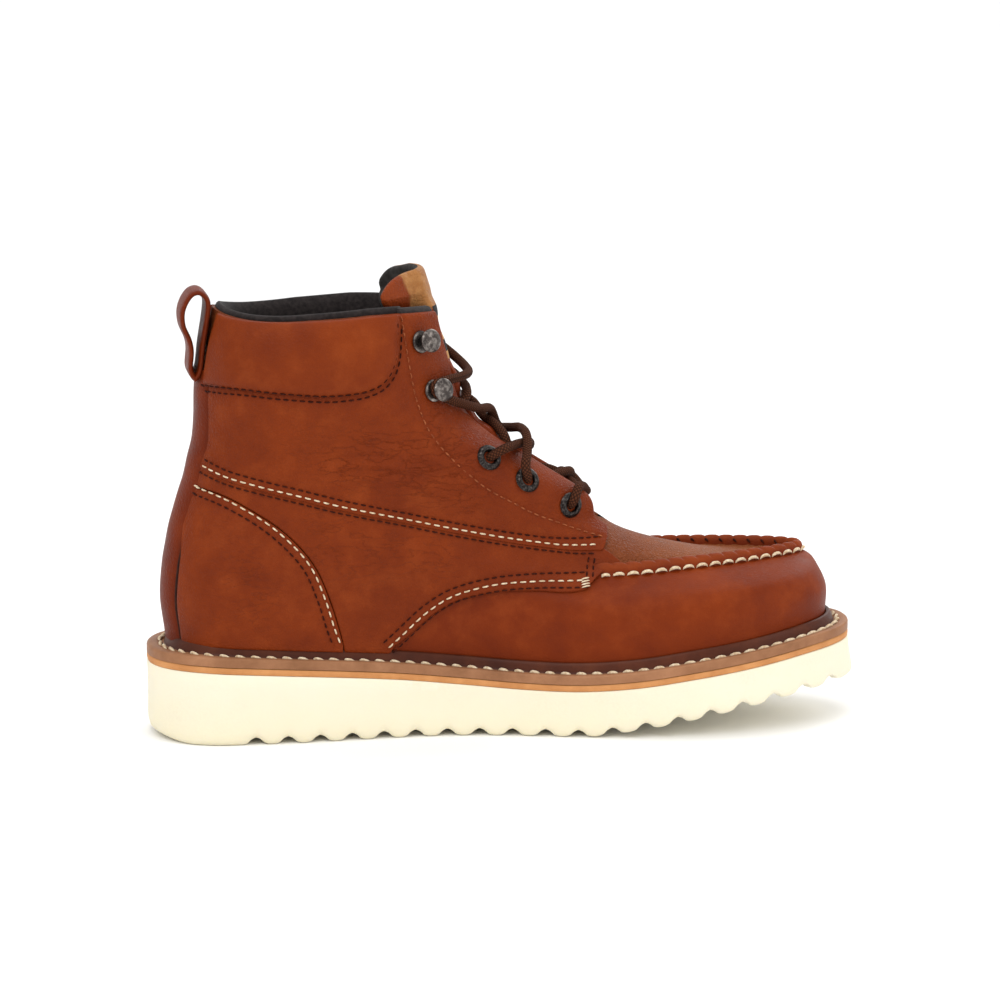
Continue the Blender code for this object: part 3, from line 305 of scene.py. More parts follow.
def half_width(loop, side, x):
    """Half width at x, with a rounded end at front and back."""
    front_round = np.where(side < 0, loop["round_m"], loop["round_l"])
    front, back, back_round = loop["front"], loop["back"], loop["back_round"]
    share = np.clip((x - back) / (front - back), 0, 1)
    width = np.where(side < 0, side_width(loop, -1, share), side_width(loop, 1, share))
    into_front = np.clip((x - front + front_round) / front_round, 0, 1)
    into_back = np.clip((back + back_round - x) / back_round, 0, 1)
    power = loop["point"]
    return (width * (1 - into_front ** power) ** (1 / power)
            * (1 - into_back ** BACK_POINT) ** (1 / BACK_POINT))


def loop_line(loop, side, s):
    """x and y along a loop on one side, swung with the toe."""
    x = loop_x(loop, side, s)
    return x, swing(x) + side * half_width(loop, side, x)


def loop_height(loop, x):
    """Height of a loop at x: a chord from back to front, bent with the sole, less its sag."""
    share = np.clip((x - loop["back"]) / (loop["front"] - loop["back"]), 0, 1)
    low, high = seat(loop["back"]), seat(loop["front"])
    chord = low + (high - low) * share
    rise = loop["back_h"] + (loop["front_h"] - loop["back_h"]) * share
    return chord + loop["follow"] * (seat(x) - chord) + rise - loop["sag"] * np.sin(
        math.pi * share ** 0.6)


def walk(loop, side):
    """Points along a loop and the distance walked to each, from the front."""
    x, y = loop_line(loop, side, ARC_STEPS[None, :])
    z = loop_height(loop, x)
    step = np.sqrt(np.diff(x) ** 2 + np.diff(y) ** 2 + np.diff(z) ** 2)
    walked = np.concatenate([np.zeros((len(x), 1)), np.cumsum(step, 1)], 1)
    return x, y, z, walked


FINE_V = 20
FINE_U = 200
HALVINGS = 36
RIDGE_HALVINGS = 26


def skin_tables():
    """The last's skin as a table: every fine row is a loop, walked on both sides and read at
    even shares of its length; the normals are the cross product of the table's two slopes."""
    rows = np.linspace(0, len(LAST) - 1, (len(LAST) - 1) * FINE_V + 1)
    share = np.linspace(0, 1, FINE_U + 1)
    halves, girths = {}, {}
    for side in (-1.0, 1.0):
        loop = {name: size[:, None] for name, size in loop_sizes(rows).items()}
        x, y, z, walked = walk(loop, np.full((len(rows), 1), side))
        girths[int(side)] = walked[:, -1]
        half = np.empty((len(rows), FINE_U + 1, 3))
        for k in range(len(rows)):
            for axis, line in enumerate((x, y, z)):
                half[k, :, axis] = np.interp(share * walked[k, -1], walked[k], line[k])
        halves[int(side)] = half
    place = np.concatenate([halves[-1][:, ::-1], halves[1][:, 1:]], axis=1)
    wrapped = np.concatenate([place[:, -3:-1], place, place[:, 1:3]], axis=1)
    along = (wrapped[:, 2:] - wrapped[:, :-2])[:, 1:-1]
    up = np.gradient(place, axis=0)
    normal = unit(np.cross(along, up))
    normal = np.concatenate([normal[:, -3:-1], normal, normal[:, 1:3]], axis=1)
    return rows, girths, wrapped, normal


TABLE_ROWS, GIRTHS, SKIN, NORMALS = skin_tables()


def read_table(table, v, u):
    """Bicubic reading of a skin table at row v and turn u, with u wrapping at the back."""
    v, u = np.broadcast_arrays(np.asarray(v, float), np.asarray(u, float))
    u = np.mod(u + 1, 2)
    a = np.clip(v, 0, len(LAST) - 1) * FINE_V
    b = u * FINE_U
    i = np.clip(np.floor(a).astype(int), 0, len(table) - 2)
    j = np.clip(np.floor(b).astype(int), 0, 2 * FINE_U - 1)
    out = np.zeros(v.shape + (3,))
    weights = []
    for t in (a - i, b - j):
        weights.append((-0.5 * t + t * t - 0.5 * t ** 3, 1 - 2.5 * t * t + 1.5 * t ** 3,
                        0.5 * t + 2 * t * t - 1.5 * t ** 3, -0.5 * t * t + 0.5 * t ** 3))
    for m in range(4):
        row = np.clip(i + m - 1, 0, len(table) - 1)
        for n in range(4):
            out += (weights[0][m] * weights[1][n])[..., None] * table[row, j + n + 1]
    return out


def skin(v, u):
    return read_table(SKIN, v, u)


def outward(v, u):
    return unit(read_table(NORMALS, v, u))


def over(v, u, distance):
    """Point at a distance over the last's skin."""
    return skin(v, u) + outward(v, u) * np.asarray(distance, float)[..., None]


def half_girth(v, side):
    return np.interp(v, TABLE_ROWS, GIRTHS[side])


def turn_at(v, across):
    """u of the point at a signed walked distance from the front centre (inner side < 0)."""
    across = np.asarray(across, float)
    return across / np.where(across < 0, half_girth(v, -1), half_girth(v, 1))


def rising_row(is_below, like, top, halvings):
    """Row below top where is_below stops being true, found by halving the range."""
    low, high = np.zeros_like(like), np.full_like(like, float(top))
    for _ in range(halvings):
        middle = (low + high) / 2
        below = is_below(middle)
        low, high = np.where(below, middle, low), np.where(below, high, middle)
    return low


def find(x, height, side):
    """Row v and u of the point at x whose height over the sole's top is given."""
    x = np.asarray(x, float)
    z = seat(x) + height
    low = rising_row(lambda row: loop_height(loop_sizes(row), x) < z, x, len(LAST) - 1, HALVINGS)
    loop = {name: size[:, None] for name, size in loop_sizes(low).items()}
    line_x, _, _, walked = walk(loop, np.full((len(x), 1), float(side)))
    share = [np.interp(-x[k], -line_x[k], walked[k] / walked[k, -1]) for k in range(len(x))]
    return np.array([low, side * np.array(share)])


def seam(points, side, count=60, shift=0.0):
    """Line on the skin through shares seen from the side, moved across itself by shift."""
    points = np.array(points) * (SOLE_LENGTH, UPPER_HEIGHT)
    fine = smooth_path(points, count)
    along = unit(np.gradient(fine, axis=0))
    fine = fine + np.column_stack([-along[:, 1], along[:, 0]]) * shift
    return find(fine[:, 0], fine[:, 1], side)


def resample(line, count):
    """The same line on the skin with count points, even along it."""
    length = walked_length(skin(*line))
    at = np.linspace(0, length[-1], count)
    return np.array([np.interp(at, length, line[0]), np.interp(at, length, line[1])])


def collar_row(u):
    """Row of the leather's top edge at each u: a little lower at the heel and the throat."""
    return np.interp(np.abs(u), (0.10, 0.142, 0.281, 0.376, 0.57, 0.774, 0.911, 1.0),
                     (14.85, 14.87, 14.96, 15.0, 14.98, 14.87, 14.82, 14.80))


def row_at_height(u, height):
    """Row v whose height over the sole's top is the given one, at each u."""
    def is_below(row):
        point = skin(row, u)
        return point[:, 2] - seat(point[:, 0]) < height

    return rising_row(is_below, u, ROW["shoulder"], RIDGE_HALVINGS)


def near(points, line):
    """Distance from each point to the nearest point of a dense line, in metres."""
    flat = points.reshape(-1, 3)
    best = np.full(len(flat), 1.0)
    for start in range(0, len(flat), 4000):
        block = flat[start:start + 4000]
        gap = np.linalg.norm(block[:, None, :] - line[None, :, :], axis=2)
        best[start:start + 4000] = gap.min(1)
    return best.reshape(points.shape[:-1])


def grid_faces(rows, columns, start=0, flip=False, wrap=False):
    """Quads of a grid of points; wrap joins the last column to the first."""
    i, j = np.meshgrid(np.arange(rows - 1), np.arange(columns if wrap else columns - 1),
                       indexing="ij")
    k = (j + 1) % columns
    faces = np.stack([i * columns + j, i * columns + k, (i + 1) * columns + k,
                      (i + 1) * columns + j], -1).reshape(-1, 4) + start
    return faces[:, ::-1] if flip else faces


def crossed(rings):
    """Grid whose rows run across the given lines."""
    return np.array(rings).transpose(1, 0, 2)


def capped_faces(rows, columns):
    """Quads of a tube of rings, with one flat face at each end."""
    faces = [tuple(face) for face in grid_faces(rows, columns, wrap=True)]
    faces.append(tuple(range(columns))[::-1])
    faces.append(tuple((rows - 1) * columns + k for k in range(columns)))
    return faces


def link(name, data):
    """New object in the scene, unturned at the origin."""
    made = bpy.data.objects.new(name, data)
    bpy.context.scene.collection.objects.link(made)
    return made


def make_mesh(name, points, faces, finishes, weld=True, face_finish=None, marks=None, uv=None,
              angle=50):
    """Piece from points and quads, moved to the frame's origin, its faces turned outwards."""
    mesh = bpy.data.meshes.new(name)
    points = np.asarray(points, float).reshape(-1, 3) + CENTRE
    mesh.from_pydata(points.tolist(), [], [tuple(face) for face in faces])
    for label, values in (marks or {}).items():
        layer = mesh.attributes.new(label, "FLOAT", "POINT")
        layer.data.foreach_set("value", np.asarray(values, np.float32).ravel())
    if uv is not None:
        corners = np.empty(len(mesh.loops), np.int32)
        mesh.loops.foreach_get("vertex_index", corners)
        layer = mesh.uv_layers.new(name="along")
        layer.data.foreach_set("uv", np.asarray(uv, np.float32).reshape(-1, 2)[corners].ravel())
    if face_finish is not None:
        mesh.polygons.foreach_set("material_index", np.asarray(face_finish, np.int32))
    if weld:
        form = bmesh.new()
        form.from_mesh(mesh)
        bmesh.ops.remove_doubles(form, verts=form.verts, dist=2e-6)
        bmesh.ops.dissolve_degenerate(form, edges=form.edges, dist=1e-7)
        bmesh.ops.recalc_face_normals(form, faces=form.faces)
        form.to_mesh(mesh)
        form.free()
    piece = link(name, mesh)
    for finish in finishes if isinstance(finishes, (list, tuple)) else [finishes]:
        mesh.materials.append(finish)
    mesh.shade_smooth()
    if angle:
        mesh.set_sharp_from_angle(angle=math.radians(angle))
    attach(piece, "root")
    return piece


def slab(name, outer, inner, finishes, marks=None, inner_finish=0, open_rows=None, **more):
    """Closed wall between two grids of points: outer face, inner face and rim. open_rows
    leaves the side columns joined to each other below that row."""
    rows, columns = outer.shape[:2]
    size = rows * columns
    top = grid_faces(rows, columns)
    under = grid_faces(rows, columns, size, True)
    rim = []
    j = np.arange(columns - 1)
    for base in (0, (rows - 1) * columns):
        rim.append(np.stack([base + j, base + j + 1, base + j + 1 + size, base + j + size], -1))
    i = np.arange(open_rows or 0, rows - 1) * columns
    for base in (0, columns - 1):
        rim.append(np.stack([i + base, i + base + columns, i + base + columns + size,
                             i + base + size], -1))
    faces = np.concatenate([top, under] + rim)
    face_finish = np.zeros(len(faces), np.int32)
    face_finish[len(top):len(top) + len(under)] = inner_finish
    both = {label: np.concatenate([values.ravel(), values.ravel()])
            for label, values in (marks or {}).items()}
    points = np.concatenate([outer.reshape(-1, 3), inner.reshape(-1, 3)])
    return make_mesh(name, points, faces, finishes, face_finish=face_finish, marks=both, **more)


def tube(name, line, radius, finish, sides=14):
    """Round cord along a line: rings in planes across it, turned so that they don't twist.
    radius may change along the line. The ends close with a small dome."""
    line = np.asarray(line, float)
    count = len(line)
    radius = np.broadcast_to(np.asarray(radius, float), (count,))
    along = unit(np.gradient(line, axis=0))
    across = np.zeros_like(line)
    guide = np.cross(along[0], (0.31, 0.17, 0.93))
    for k in range(count):
        guide = unit(guide - along[k] * guide.dot(along[k]))
        across[k] = guide
    third = np.cross(along, across)
    turn = np.linspace(0, 2 * math.pi, sides, endpoint=False)
    ring = (line[:, None] + radius[:, None, None]
            * (np.cos(turn)[None, :, None] * across[:, None]
               + np.sin(turn)[None, :, None] * third[:, None]))
    tips = []
    for end, way in ((0, -1), (-1, 1)):
        for share, out in ((0.8, 0.45), (0.4, 0.8), (0.02, 0.95)):
            tips.append(line[end] + along[end] * way * radius[end] * out
                        + (ring[end] - line[end]) * share)
    rings = np.concatenate([np.array(tips[:3])[::-1], ring, np.array(tips[3:])])
    length = np.concatenate([np.zeros(3), walked_length(line), np.full(3, 1e-9)])
    length[-3:] = length[-4]
    uv = np.stack(np.broadcast_arrays(turn[None, :] / (2 * math.pi),
                                      length[:, None] / LACE), -1)
    return make_mesh(name, rings, capped_faces(len(rings), sides), finish, weld=False, uv=uv,
                     angle=None)


STITCH_FORM = np.array((
    # along in lengths, girth in thicknesses, height in thicknesses times rise
    (-0.50, 0.25, -1.20), (-0.42, 0.72, 0.00), (-0.22, 1.00, 1.00), (0.00, 1.00, 1.24),
    (0.22, 1.00, 1.00), (0.42, 0.72, 0.00), (0.50, 0.25, -1.20)))


def sewn(name, rows, size, finish, rise=0.35, first=0.5, slant=0.0):
    """Sewn rows as one mesh: every stitch is a short tube of seven rings along its row, thin
    and sunk at both ends and standing out in the middle. rows are (points, normals)."""
    pitch, length, thick = size
    rings, sides = len(STITCH_FORM), 8
    station, girth, height = STITCH_FORM.T * np.array(((length,), (thick / 2,), (thick * rise,)))
    turn = np.linspace(0, 2 * math.pi, sides, endpoint=False)
    points, count = [], 0
    for line, normal in rows:
        walked = walked_length(line)
        centre = np.arange(first * pitch, walked[-1] - length * 0.3, pitch)
        at = centre[:, None] + station[None, :]
        read = lambda values, where: np.stack(
            [np.interp(where, walked, values[:, k]) for k in range(3)], -1)
        middle = read(line, at)
        out = read(normal, at)
        along = read(line, at + 1e-4) - read(line, at - 1e-4)
        along /= np.linalg.norm(along, axis=-1, keepdims=True) + 1e-12
        side = np.cross(along, out)
        middle = middle + side * (slant * station / length)[None, :, None]
        ring = (middle[:, :, None] + out[:, :, None] * (
            height[None, :, None, None] + (np.cos(turn)[None, :] * girth[:, None])[None, ..., None])
            + side[:, :, None] * (np.sin(turn)[None, :] * girth[:, None])[None, ..., None])
        points.append(ring.reshape(-1, 3))
        count += len(centre)
    start = np.arange(count) * rings * sides
    quads = grid_faces(rings, sides, wrap=True)
    faces = (quads[None] + start[:, None, None]).reshape(-1, 4).tolist()
    cap = np.arange(sides)
    faces += (cap[::-1][None] + start[:, None]).tolist()
    faces += (cap[None] + start[:, None] + (rings - 1) * sides).tolist()
    return make_mesh(name, np.concatenate(points), faces, finish, weld=False, angle=None)


def on_skin(line, height, count=400):
    """Dense points and normals of a line on the skin, at a height over it."""
    line = resample(line, count)
    return over(*line, height), outward(*line)


# Materials
class Wiring:
    """Short hand for adding nodes to a tree and joining them."""

    def __init__(self, tree):
        self.tree = tree

    def node(self, kind, **settings):
        made = self.tree.nodes.new(kind)
        for name, value in settings.items():
            setattr(made, name, value)
        return made

    def put(self, target, value):
        if isinstance(value, bpy.types.NodeSocket):
            self.tree.links.new(value, target)
        elif value is not None:
            target.default_value = value

    def math(self, operation, a, b=None, clamp=False):
        made = self.node("ShaderNodeMath", operation=operation, use_clamp=clamp)
        self.put(made.inputs[0], a)
        self.put(made.inputs[1], b)
        return made.outputs[0]

    def times(self, a, b):
        return self.math("MULTIPLY", a, b)

    def plus(self, a, b, clamp=False):
        return self.math("ADD", a, b, clamp)

    def noise(self, vector, scale, detail=3.0, rough=0.55):
        made = self.node("ShaderNodeTexNoise")
        self.put(made.inputs["Vector"], vector)
        self.put(made.inputs["Scale"], scale)
        made.inputs["Detail"].default_value = detail
        made.inputs["Roughness"].default_value = rough
        return made.outputs["Fac"]

    def cells(self, vector, scale, feature):
        made = self.node("ShaderNodeTexVoronoi", feature=feature)
        self.put(made.inputs["Vector"], vector)
        self.put(made.inputs["Scale"], scale)
        return made.outputs["Distance"]

    def span(self, value, low, high, to_low=0.0, to_high=1.0):
        made = self.node("ShaderNodeMapRange")
        self.put(made.inputs["Value"], value)
        for name, number in (("From Min", low), ("From Max", high), ("To Min", to_low),
                             ("To Max", to_high)):
            self.put(made.inputs[name], number)
        return made.outputs["Result"]

    def mix(self, factor, a, b):
        made = self.node("ShaderNodeMix", data_type="RGBA")
        self.put(made.inputs["Factor"], factor)
        colours = [s for s in made.inputs if s.type == "RGBA"]
        self.put(colours[0], a)
        self.put(colours[1], b)
        return [s for s in made.outputs if s.type == "RGBA"][0]

    def place(self):
        return self.node("ShaderNodeTexCoord").outputs["Object"]

    def mark(self, name):
        return self.node("ShaderNodeAttribute", attribute_name=name).outputs["Fac"]

    def group(self, tree, **inputs):
        made = self.node("ShaderNodeGroup", node_tree=tree)
        for name, value in inputs.items():
            self.put(made.inputs[name.replace("_", " ")], value)
        return made


def new_group(name, inputs, outputs):
    """Empty node group with named inputs (name, kind, value) and outputs (name, kind)."""
    tree = bpy.data.node_groups.new(name, "ShaderNodeTree")
    for label, kind, value in inputs:
        made = tree.interface.new_socket(name=label, in_out="INPUT", socket_type=kind)
        if value is not None:
            made.default_value = value
    for label, kind in outputs:
        tree.interface.new_socket(name=label, in_out="OUTPUT", socket_type=kind)
    return tree, Wiring(tree), tree.nodes.new("NodeGroupInput"), tree.nodes.new("NodeGroupOutput")


COLOUR, VALUE, VECTOR = "NodeSocketColor", "NodeSocketFloat", "NodeSocketVector"


def leather_group():
    """Oiled leather: mottled colour that lightens where it is pulled and under a painted highlight,
    and darkens towards the seams with their own darker tone and with painted shade in grooves and
    creases; height of pebbles, pores and fine creases; gloss that follows the colour."""
    tree, w, given, out = new_group("leather_grain", (
        ("Place", VECTOR, None), ("Deep", COLOUR, (0.2, 0.03, 0.006, 1)),
        ("Main", COLOUR, (0.35, 0.06, 0.012, 1)), ("Pale", COLOUR, (0.5, 0.14, 0.04, 1)),
        ("Seam", VALUE, 0.0), ("Pull", VALUE, 0.0), ("Fold", VALUE, 0.0), ("Pebble", VALUE, 0.5),
        ("Pebble Scale", VALUE, 700.0)),
        (("Colour", COLOUR), ("Height", VALUE), ("Roughness", VALUE)))
    place = given.outputs["Place"]
    broad = w.noise(place, 22.0, 4.0, 0.6)
    cloud = w.noise(place, 75.0, 5.0, 0.62)
    fine = w.noise(place, 420.0, 3.0, 0.6)
    blend = w.span(w.plus(w.times(broad, 0.55), w.times(cloud, 0.45)), 0.34, 0.66)
    colour = w.mix(blend, given.outputs["Deep"], given.outputs["Main"])
    # Lighter by a random mottle, by pull-up at bends and by a painted highlight
    lighter = w.plus(w.span(cloud, 0.52, 0.80, 0.0, 0.16), given.outputs["Pull"], clamp=True)
    colour = w.mix(lighter, colour, given.outputs["Pale"])
    warped = w.node("ShaderNodeVectorMath", operation="ADD")
    shift = w.node("ShaderNodeTexNoise")
    w.put(shift.inputs["Vector"], place)
    shift.inputs["Scale"].default_value = 160.0
    scaled = w.node("ShaderNodeVectorMath", operation="SCALE")
    w.put(scaled.inputs[0], shift.outputs["Color"])
    scaled.inputs["Scale"].default_value = 0.004
    w.put(warped.inputs[0], place)
    w.put(warped.inputs[1], scaled.outputs[0])
    pebble, scale = given.outputs["Pebble"], given.outputs["Pebble Scale"]
    pebbles = w.cells(warped.outputs[0], scale, "DISTANCE_TO_EDGE")
    mound = w.span(pebbles, 0.0, 0.30)
    small = w.cells(warped.outputs[0], w.times(scale, 2.3), "F1")
    pores = w.span(w.noise(place, 1500.0, 2.0), 0.60, 0.72)
    flat = w.node("ShaderNodeMapping")
    w.put(flat.inputs["Vector"], place)
    flat.inputs["Scale"].default_value = (0.55, 1.0, 1.6)
    lines = w.math("ABSOLUTE", w.math("SUBTRACT", w.noise(flat.outputs[0], 150.0, 4.0), 0.5))
    lines = w.span(lines, 0.0, 0.022, 1.0, 0.0)
    patches = w.span(w.noise(place, 34.0, 2.0), 0.50, 0.66)
    shown = w.plus(w.times(patches, 0.30), given.outputs["Fold"], clamp=True)
    wrinkle = w.times(lines, shown)
    height = w.plus(w.times(mound, pebble), w.times(fine, 0.30))
    height = w.plus(height, w.times(small, w.times(pebble, 0.35)))
    height = w.math("SUBTRACT", height, w.times(pores, 0.12))
    height = w.math("SUBTRACT", height, w.times(wrinkle, 0.9))
    crease = w.times(w.span(pebbles, 0.0, 0.09, 1.0, 0.0), w.times(pebble, 0.35))
    # Darker at seams, between pebbles and in fine creases: seam tone, grain, and painted shade
    dark = w.plus(w.times(given.outputs["Seam"], 0.75), crease, clamp=True)
    dark = w.plus(dark, w.times(wrinkle, 0.40), clamp=True)
    w.put(out.inputs["Colour"], w.mix(dark, colour, given.outputs["Deep"]))
    w.put(out.inputs["Height"], height)
    w.put(out.inputs["Roughness"], w.plus(w.span(cloud, 0.3, 0.7, 0.40, 0.54),
                                          w.times(given.outputs["Seam"], 0.12)))
    return tree


def weave_group():
    """Braided cord read along its length: two sets of slanting strands cross; each strand is
    a rounded ridge, with painted shade darkening the gaps."""
    tree, w, given, out = new_group("cord_braid", (
        ("Along", VECTOR, None), ("Dark", COLOUR, (0.02, 0.01, 0.006, 1)),
        ("Light", COLOUR, (0.12, 0.06, 0.04, 1)), ("Strands", VALUE, 6.0)),
        (("Colour", COLOUR), ("Height", VALUE)))
    parts = w.node("ShaderNodeSeparateXYZ")
    w.put(parts.inputs[0], given.outputs["Along"])
    round_it = w.times(parts.outputs[0], given.outputs["Strands"])
    ridges = []
    for way in (1.0, -1.0):
        phase = w.plus(round_it, w.times(parts.outputs[1], 3.0 * way))
        ridges.append(w.math("ABSOLUTE", w.math("SINE", w.times(phase, math.pi))))
    height = w.times(ridges[0], ridges[1])
    fuzz = w.noise(w.place(), 2500.0, 2.0)
    shade = w.plus(w.times(height, 0.8), w.times(fuzz, 0.35))
    w.put(out.inputs["Colour"], w.mix(w.span(shade, 0.15, 0.95), given.outputs["Dark"],
                                      given.outputs["Light"]))
    w.put(out.inputs["Height"], w.plus(height, w.times(fuzz, 0.3)))
    return tree


def dust_group():
    """Soft specks and smudges: a broad cloud times fine noise gives a mask."""
    tree, w, given, out = new_group("soft_smudge", (
        ("Place", VECTOR, None), ("Scale", VALUE, 60.0), ("Amount", VALUE, 0.5)),
        (("Mask", VALUE),))
    place = given.outputs["Place"]
    cloud = w.span(w.noise(place, given.outputs["Scale"], 4.0), 0.45, 0.75)
    specks = w.span(w.noise(place, 900.0, 2.0), 0.40, 0.75)
    w.put(out.inputs["Mask"], w.times(w.times(cloud, specks), given.outputs["Amount"]))
    return tree


SOFT_GLOSS = 0.10
GRAIN_DEPTH = 0.0007
LEATHER = leather_group()
BRAID = weave_group()
SMUDGE = dust_group()


def new_material(name):
    made = bpy.data.materials.new(name)
    made.use_nodes = True
    tree = made.node_tree
    return made, Wiring(tree), tree.nodes["Principled BSDF"]


def finish_bump(w, shader, height, strength, distance):
    bump = w.node("ShaderNodeBump")
    bump.inputs["Strength"].default_value = strength
    bump.inputs["Distance"].default_value = distance
    w.put(bump.inputs["Height"], height)
    w.put(shader.inputs["Normal"], bump.outputs["Normal"])


def leather(name, deep, main, pale, pebble, scale, bump, coat=0.0):
    """One leather: the shared grain with its own colours, pebble size and gloss."""
    made, w, shader = new_material(name)
    # seam mark: seam tone and painted groove shade; pull mark: pull-up and a painted highlight
    inputs = {"Place": w.place(), "Deep": (*deep, 1), "Main": (*main, 1), "Pale": (*pale, 1),
              "Pebble": pebble, "Pebble_Scale": scale, "Seam": w.mark("seam"),
              "Pull": w.mark("pull_and_highlight"), "Fold": w.mark("fold")}
    grain = w.group(LEATHER, **inputs)
    w.put(shader.inputs["Base Color"], grain.outputs["Colour"])
    w.put(shader.inputs["Roughness"], grain.outputs["Roughness"])
    shader.inputs["Specular IOR Level"].default_value = SOFT_GLOSS
    shader.inputs["Coat Weight"].default_value = coat
    shader.inputs["Coat Roughness"].default_value = 0.35
    finish_bump(w, shader, grain.outputs["Height"], bump, GRAIN_DEPTH)
    return made


def with_front_highlight(made):
    """Adds a painted highlight to the front of the tongue, tan for the bright surround's
    reflection, mixed in by the piece's own mark.
    """
    w = Wiring(made.node_tree)
    shader = made.node_tree.nodes["Principled BSDF"]
    under = shader.inputs["Base Color"].links[0].from_socket
    cloud = w.span(w.noise(w.place(), 240.0, 4.0), 0.35, 0.65)
    tan = w.mix(cloud, (0.29, 0.115, 0.033, 1), (0.385, 0.175, 0.058, 1))
    w.put(shader.inputs["Base Color"], w.mix(w.mark("front"), under, tan))


def plain(name, colour, rough, other, scale, bump=0.1, sheen=0.0, fine=1200.0):
    """Two close colours mixed by a noise, with a fine noise as bump."""
    made, w, shader = new_material(name)
    place = w.place()
    cloud = w.span(w.noise(place, scale, 4.0), 0.35, 0.65)
    w.put(shader.inputs["Base Color"], w.mix(cloud, (*other, 1), (*colour, 1)))
    w.put(shader.inputs["Roughness"], w.span(cloud, 0, 1, rough + 0.06, rough))
    shader.inputs["Specular IOR Level"].default_value = 0.22
    shader.inputs["Sheen Weight"].default_value = sheen
    finish_bump(w, shader, w.noise(place, fine, 3.0), bump, 0.0003)
    return made


def thread(name, light, dark):
    """Waxed thread: pale with darker patches from a noise, and a fine noise as bump."""
    made, w, shader = new_material(name)
    place = w.place()
    mask = w.span(w.noise(place, 900.0, 2.0), 0.35, 0.7)
    w.put(shader.inputs["Base Color"], w.mix(mask, (*dark, 1), (*light, 1)))
    shader.inputs["Roughness"].default_value = 0.7
    shader.inputs["Specular IOR Level"].default_value = SOFT_GLOSS
    finish_bump(w, shader, w.noise(place, 3000.0, 2.0), 0.5, 0.0002)
    return made


def make_materials():
    """Every finish of the boot, by name."""
    m = {}
    m["vamp"] = leather("vamp_leather", (0.126, 0.0148, 0.0014), (0.216, 0.0305, 0.0022),
                        (0.34, 0.080, 0.022), 0.20, 800.0, 0.35)
    # Plug colours: its own tone, paler and pinker by a painted reflection of the bright surround
    m["plug"] = leather("plug_leather", (0.145, 0.034, 0.0095), (0.225, 0.058, 0.0165),
                        (0.36, 0.130, 0.050), 0.60, 620.0, 0.75)
    m["quarter"] = leather("quarter_leather", (0.126, 0.0158, 0.0016), (0.212, 0.0310, 0.0026),
                           (0.33, 0.078, 0.020), 0.32, 700.0, 0.50)
    m["shaft"] = leather("shaft_leather", (0.124, 0.0152, 0.0015), (0.206, 0.0300, 0.0024),
                         (0.33, 0.080, 0.021), 0.36, 640.0, 0.60)
    m["cuff"] = leather("cuff_leather", (0.132, 0.0165, 0.0018), (0.212, 0.0325, 0.0028),
                        (0.34, 0.084, 0.023), 0.28, 700.0, 0.45)
    m["strip"] = leather("strip_leather", (0.100, 0.0115, 0.0015), (0.168, 0.0215, 0.0022),
                         (0.29, 0.068, 0.018), 0.34, 640.0, 0.50)
    m["tongue"] = leather("tongue_leather", (0.125, 0.0150, 0.0020), (0.220, 0.0310, 0.0040),
                          (0.29, 0.070, 0.018), 0.45, 620.0, 0.60)
    # Painted highlight on the tongue's front, in tan
    with_front_highlight(m["tongue"])
    m["felt"] = plain("collar_felt", (0.026, 0.020, 0.019), 0.95, (0.012, 0.009, 0.009),
                      500.0, 0.45, sheen=0.10, fine=2200.0)
    m["inside"] = plain("lining_cloth", (0.050, 0.045, 0.042), 0.9, (0.025, 0.022, 0.02),
                        400.0, 0.4, fine=1600.0)
    m["welt"] = leather("welt_leather", (0.200, 0.086, 0.038), (0.400, 0.190, 0.095),
                        (0.42, 0.23, 0.13), 0.12, 1100.0, 0.25, 0.05)
    m["rib"] = leather("welt_rib_leather", (0.042, 0.0085, 0.0030), (0.095, 0.0220, 0.0080),
                       (0.18, 0.060, 0.024), 0.12, 1100.0, 0.25, 0.15)
    m["mid"] = plain("midsole_tan", (0.60, 0.270, 0.095), 0.62, (0.50, 0.21, 0.070), 120.0, 0.2)
    m["cream"] = cream_rubber()
    m["white"] = thread("cream_thread", (0.80, 0.69, 0.51), (0.52, 0.37, 0.22))
    m["dark"] = thread("brown_thread", (0.058, 0.0085, 0.0030), (0.020, 0.0032, 0.0015))
    m["tone"] = thread("tan_thread", (0.36, 0.105, 0.038), (0.17, 0.035, 0.012))
    m["metal"] = antique_metal("antique_metal", (0.060, 0.050, 0.046), (0.34, 0.30, 0.27), 420.0)
    m["ring"] = antique_metal("eyelet_metal", (0.014, 0.012, 0.0115), (0.115, 0.098, 0.090), 1300.0)
    m["lace"] = lace_cord()
    m["label_dark"] = plain("label_dark", (0.020, 0.019, 0.020), 0.8, (0.012, 0.011, 0.012),
                            900.0, 0.3, fine=2600.0)
    m["label_tan"] = plain("label_tan", (0.52, 0.27, 0.10), 0.75, (0.40, 0.19, 0.065), 500.0,
                           0.3, fine=2600.0)
    m["shade"] = plain("seam_shadow", (0.030, 0.007, 0.003), 0.8, (0.015, 0.004, 0.002), 300.0)
    return m


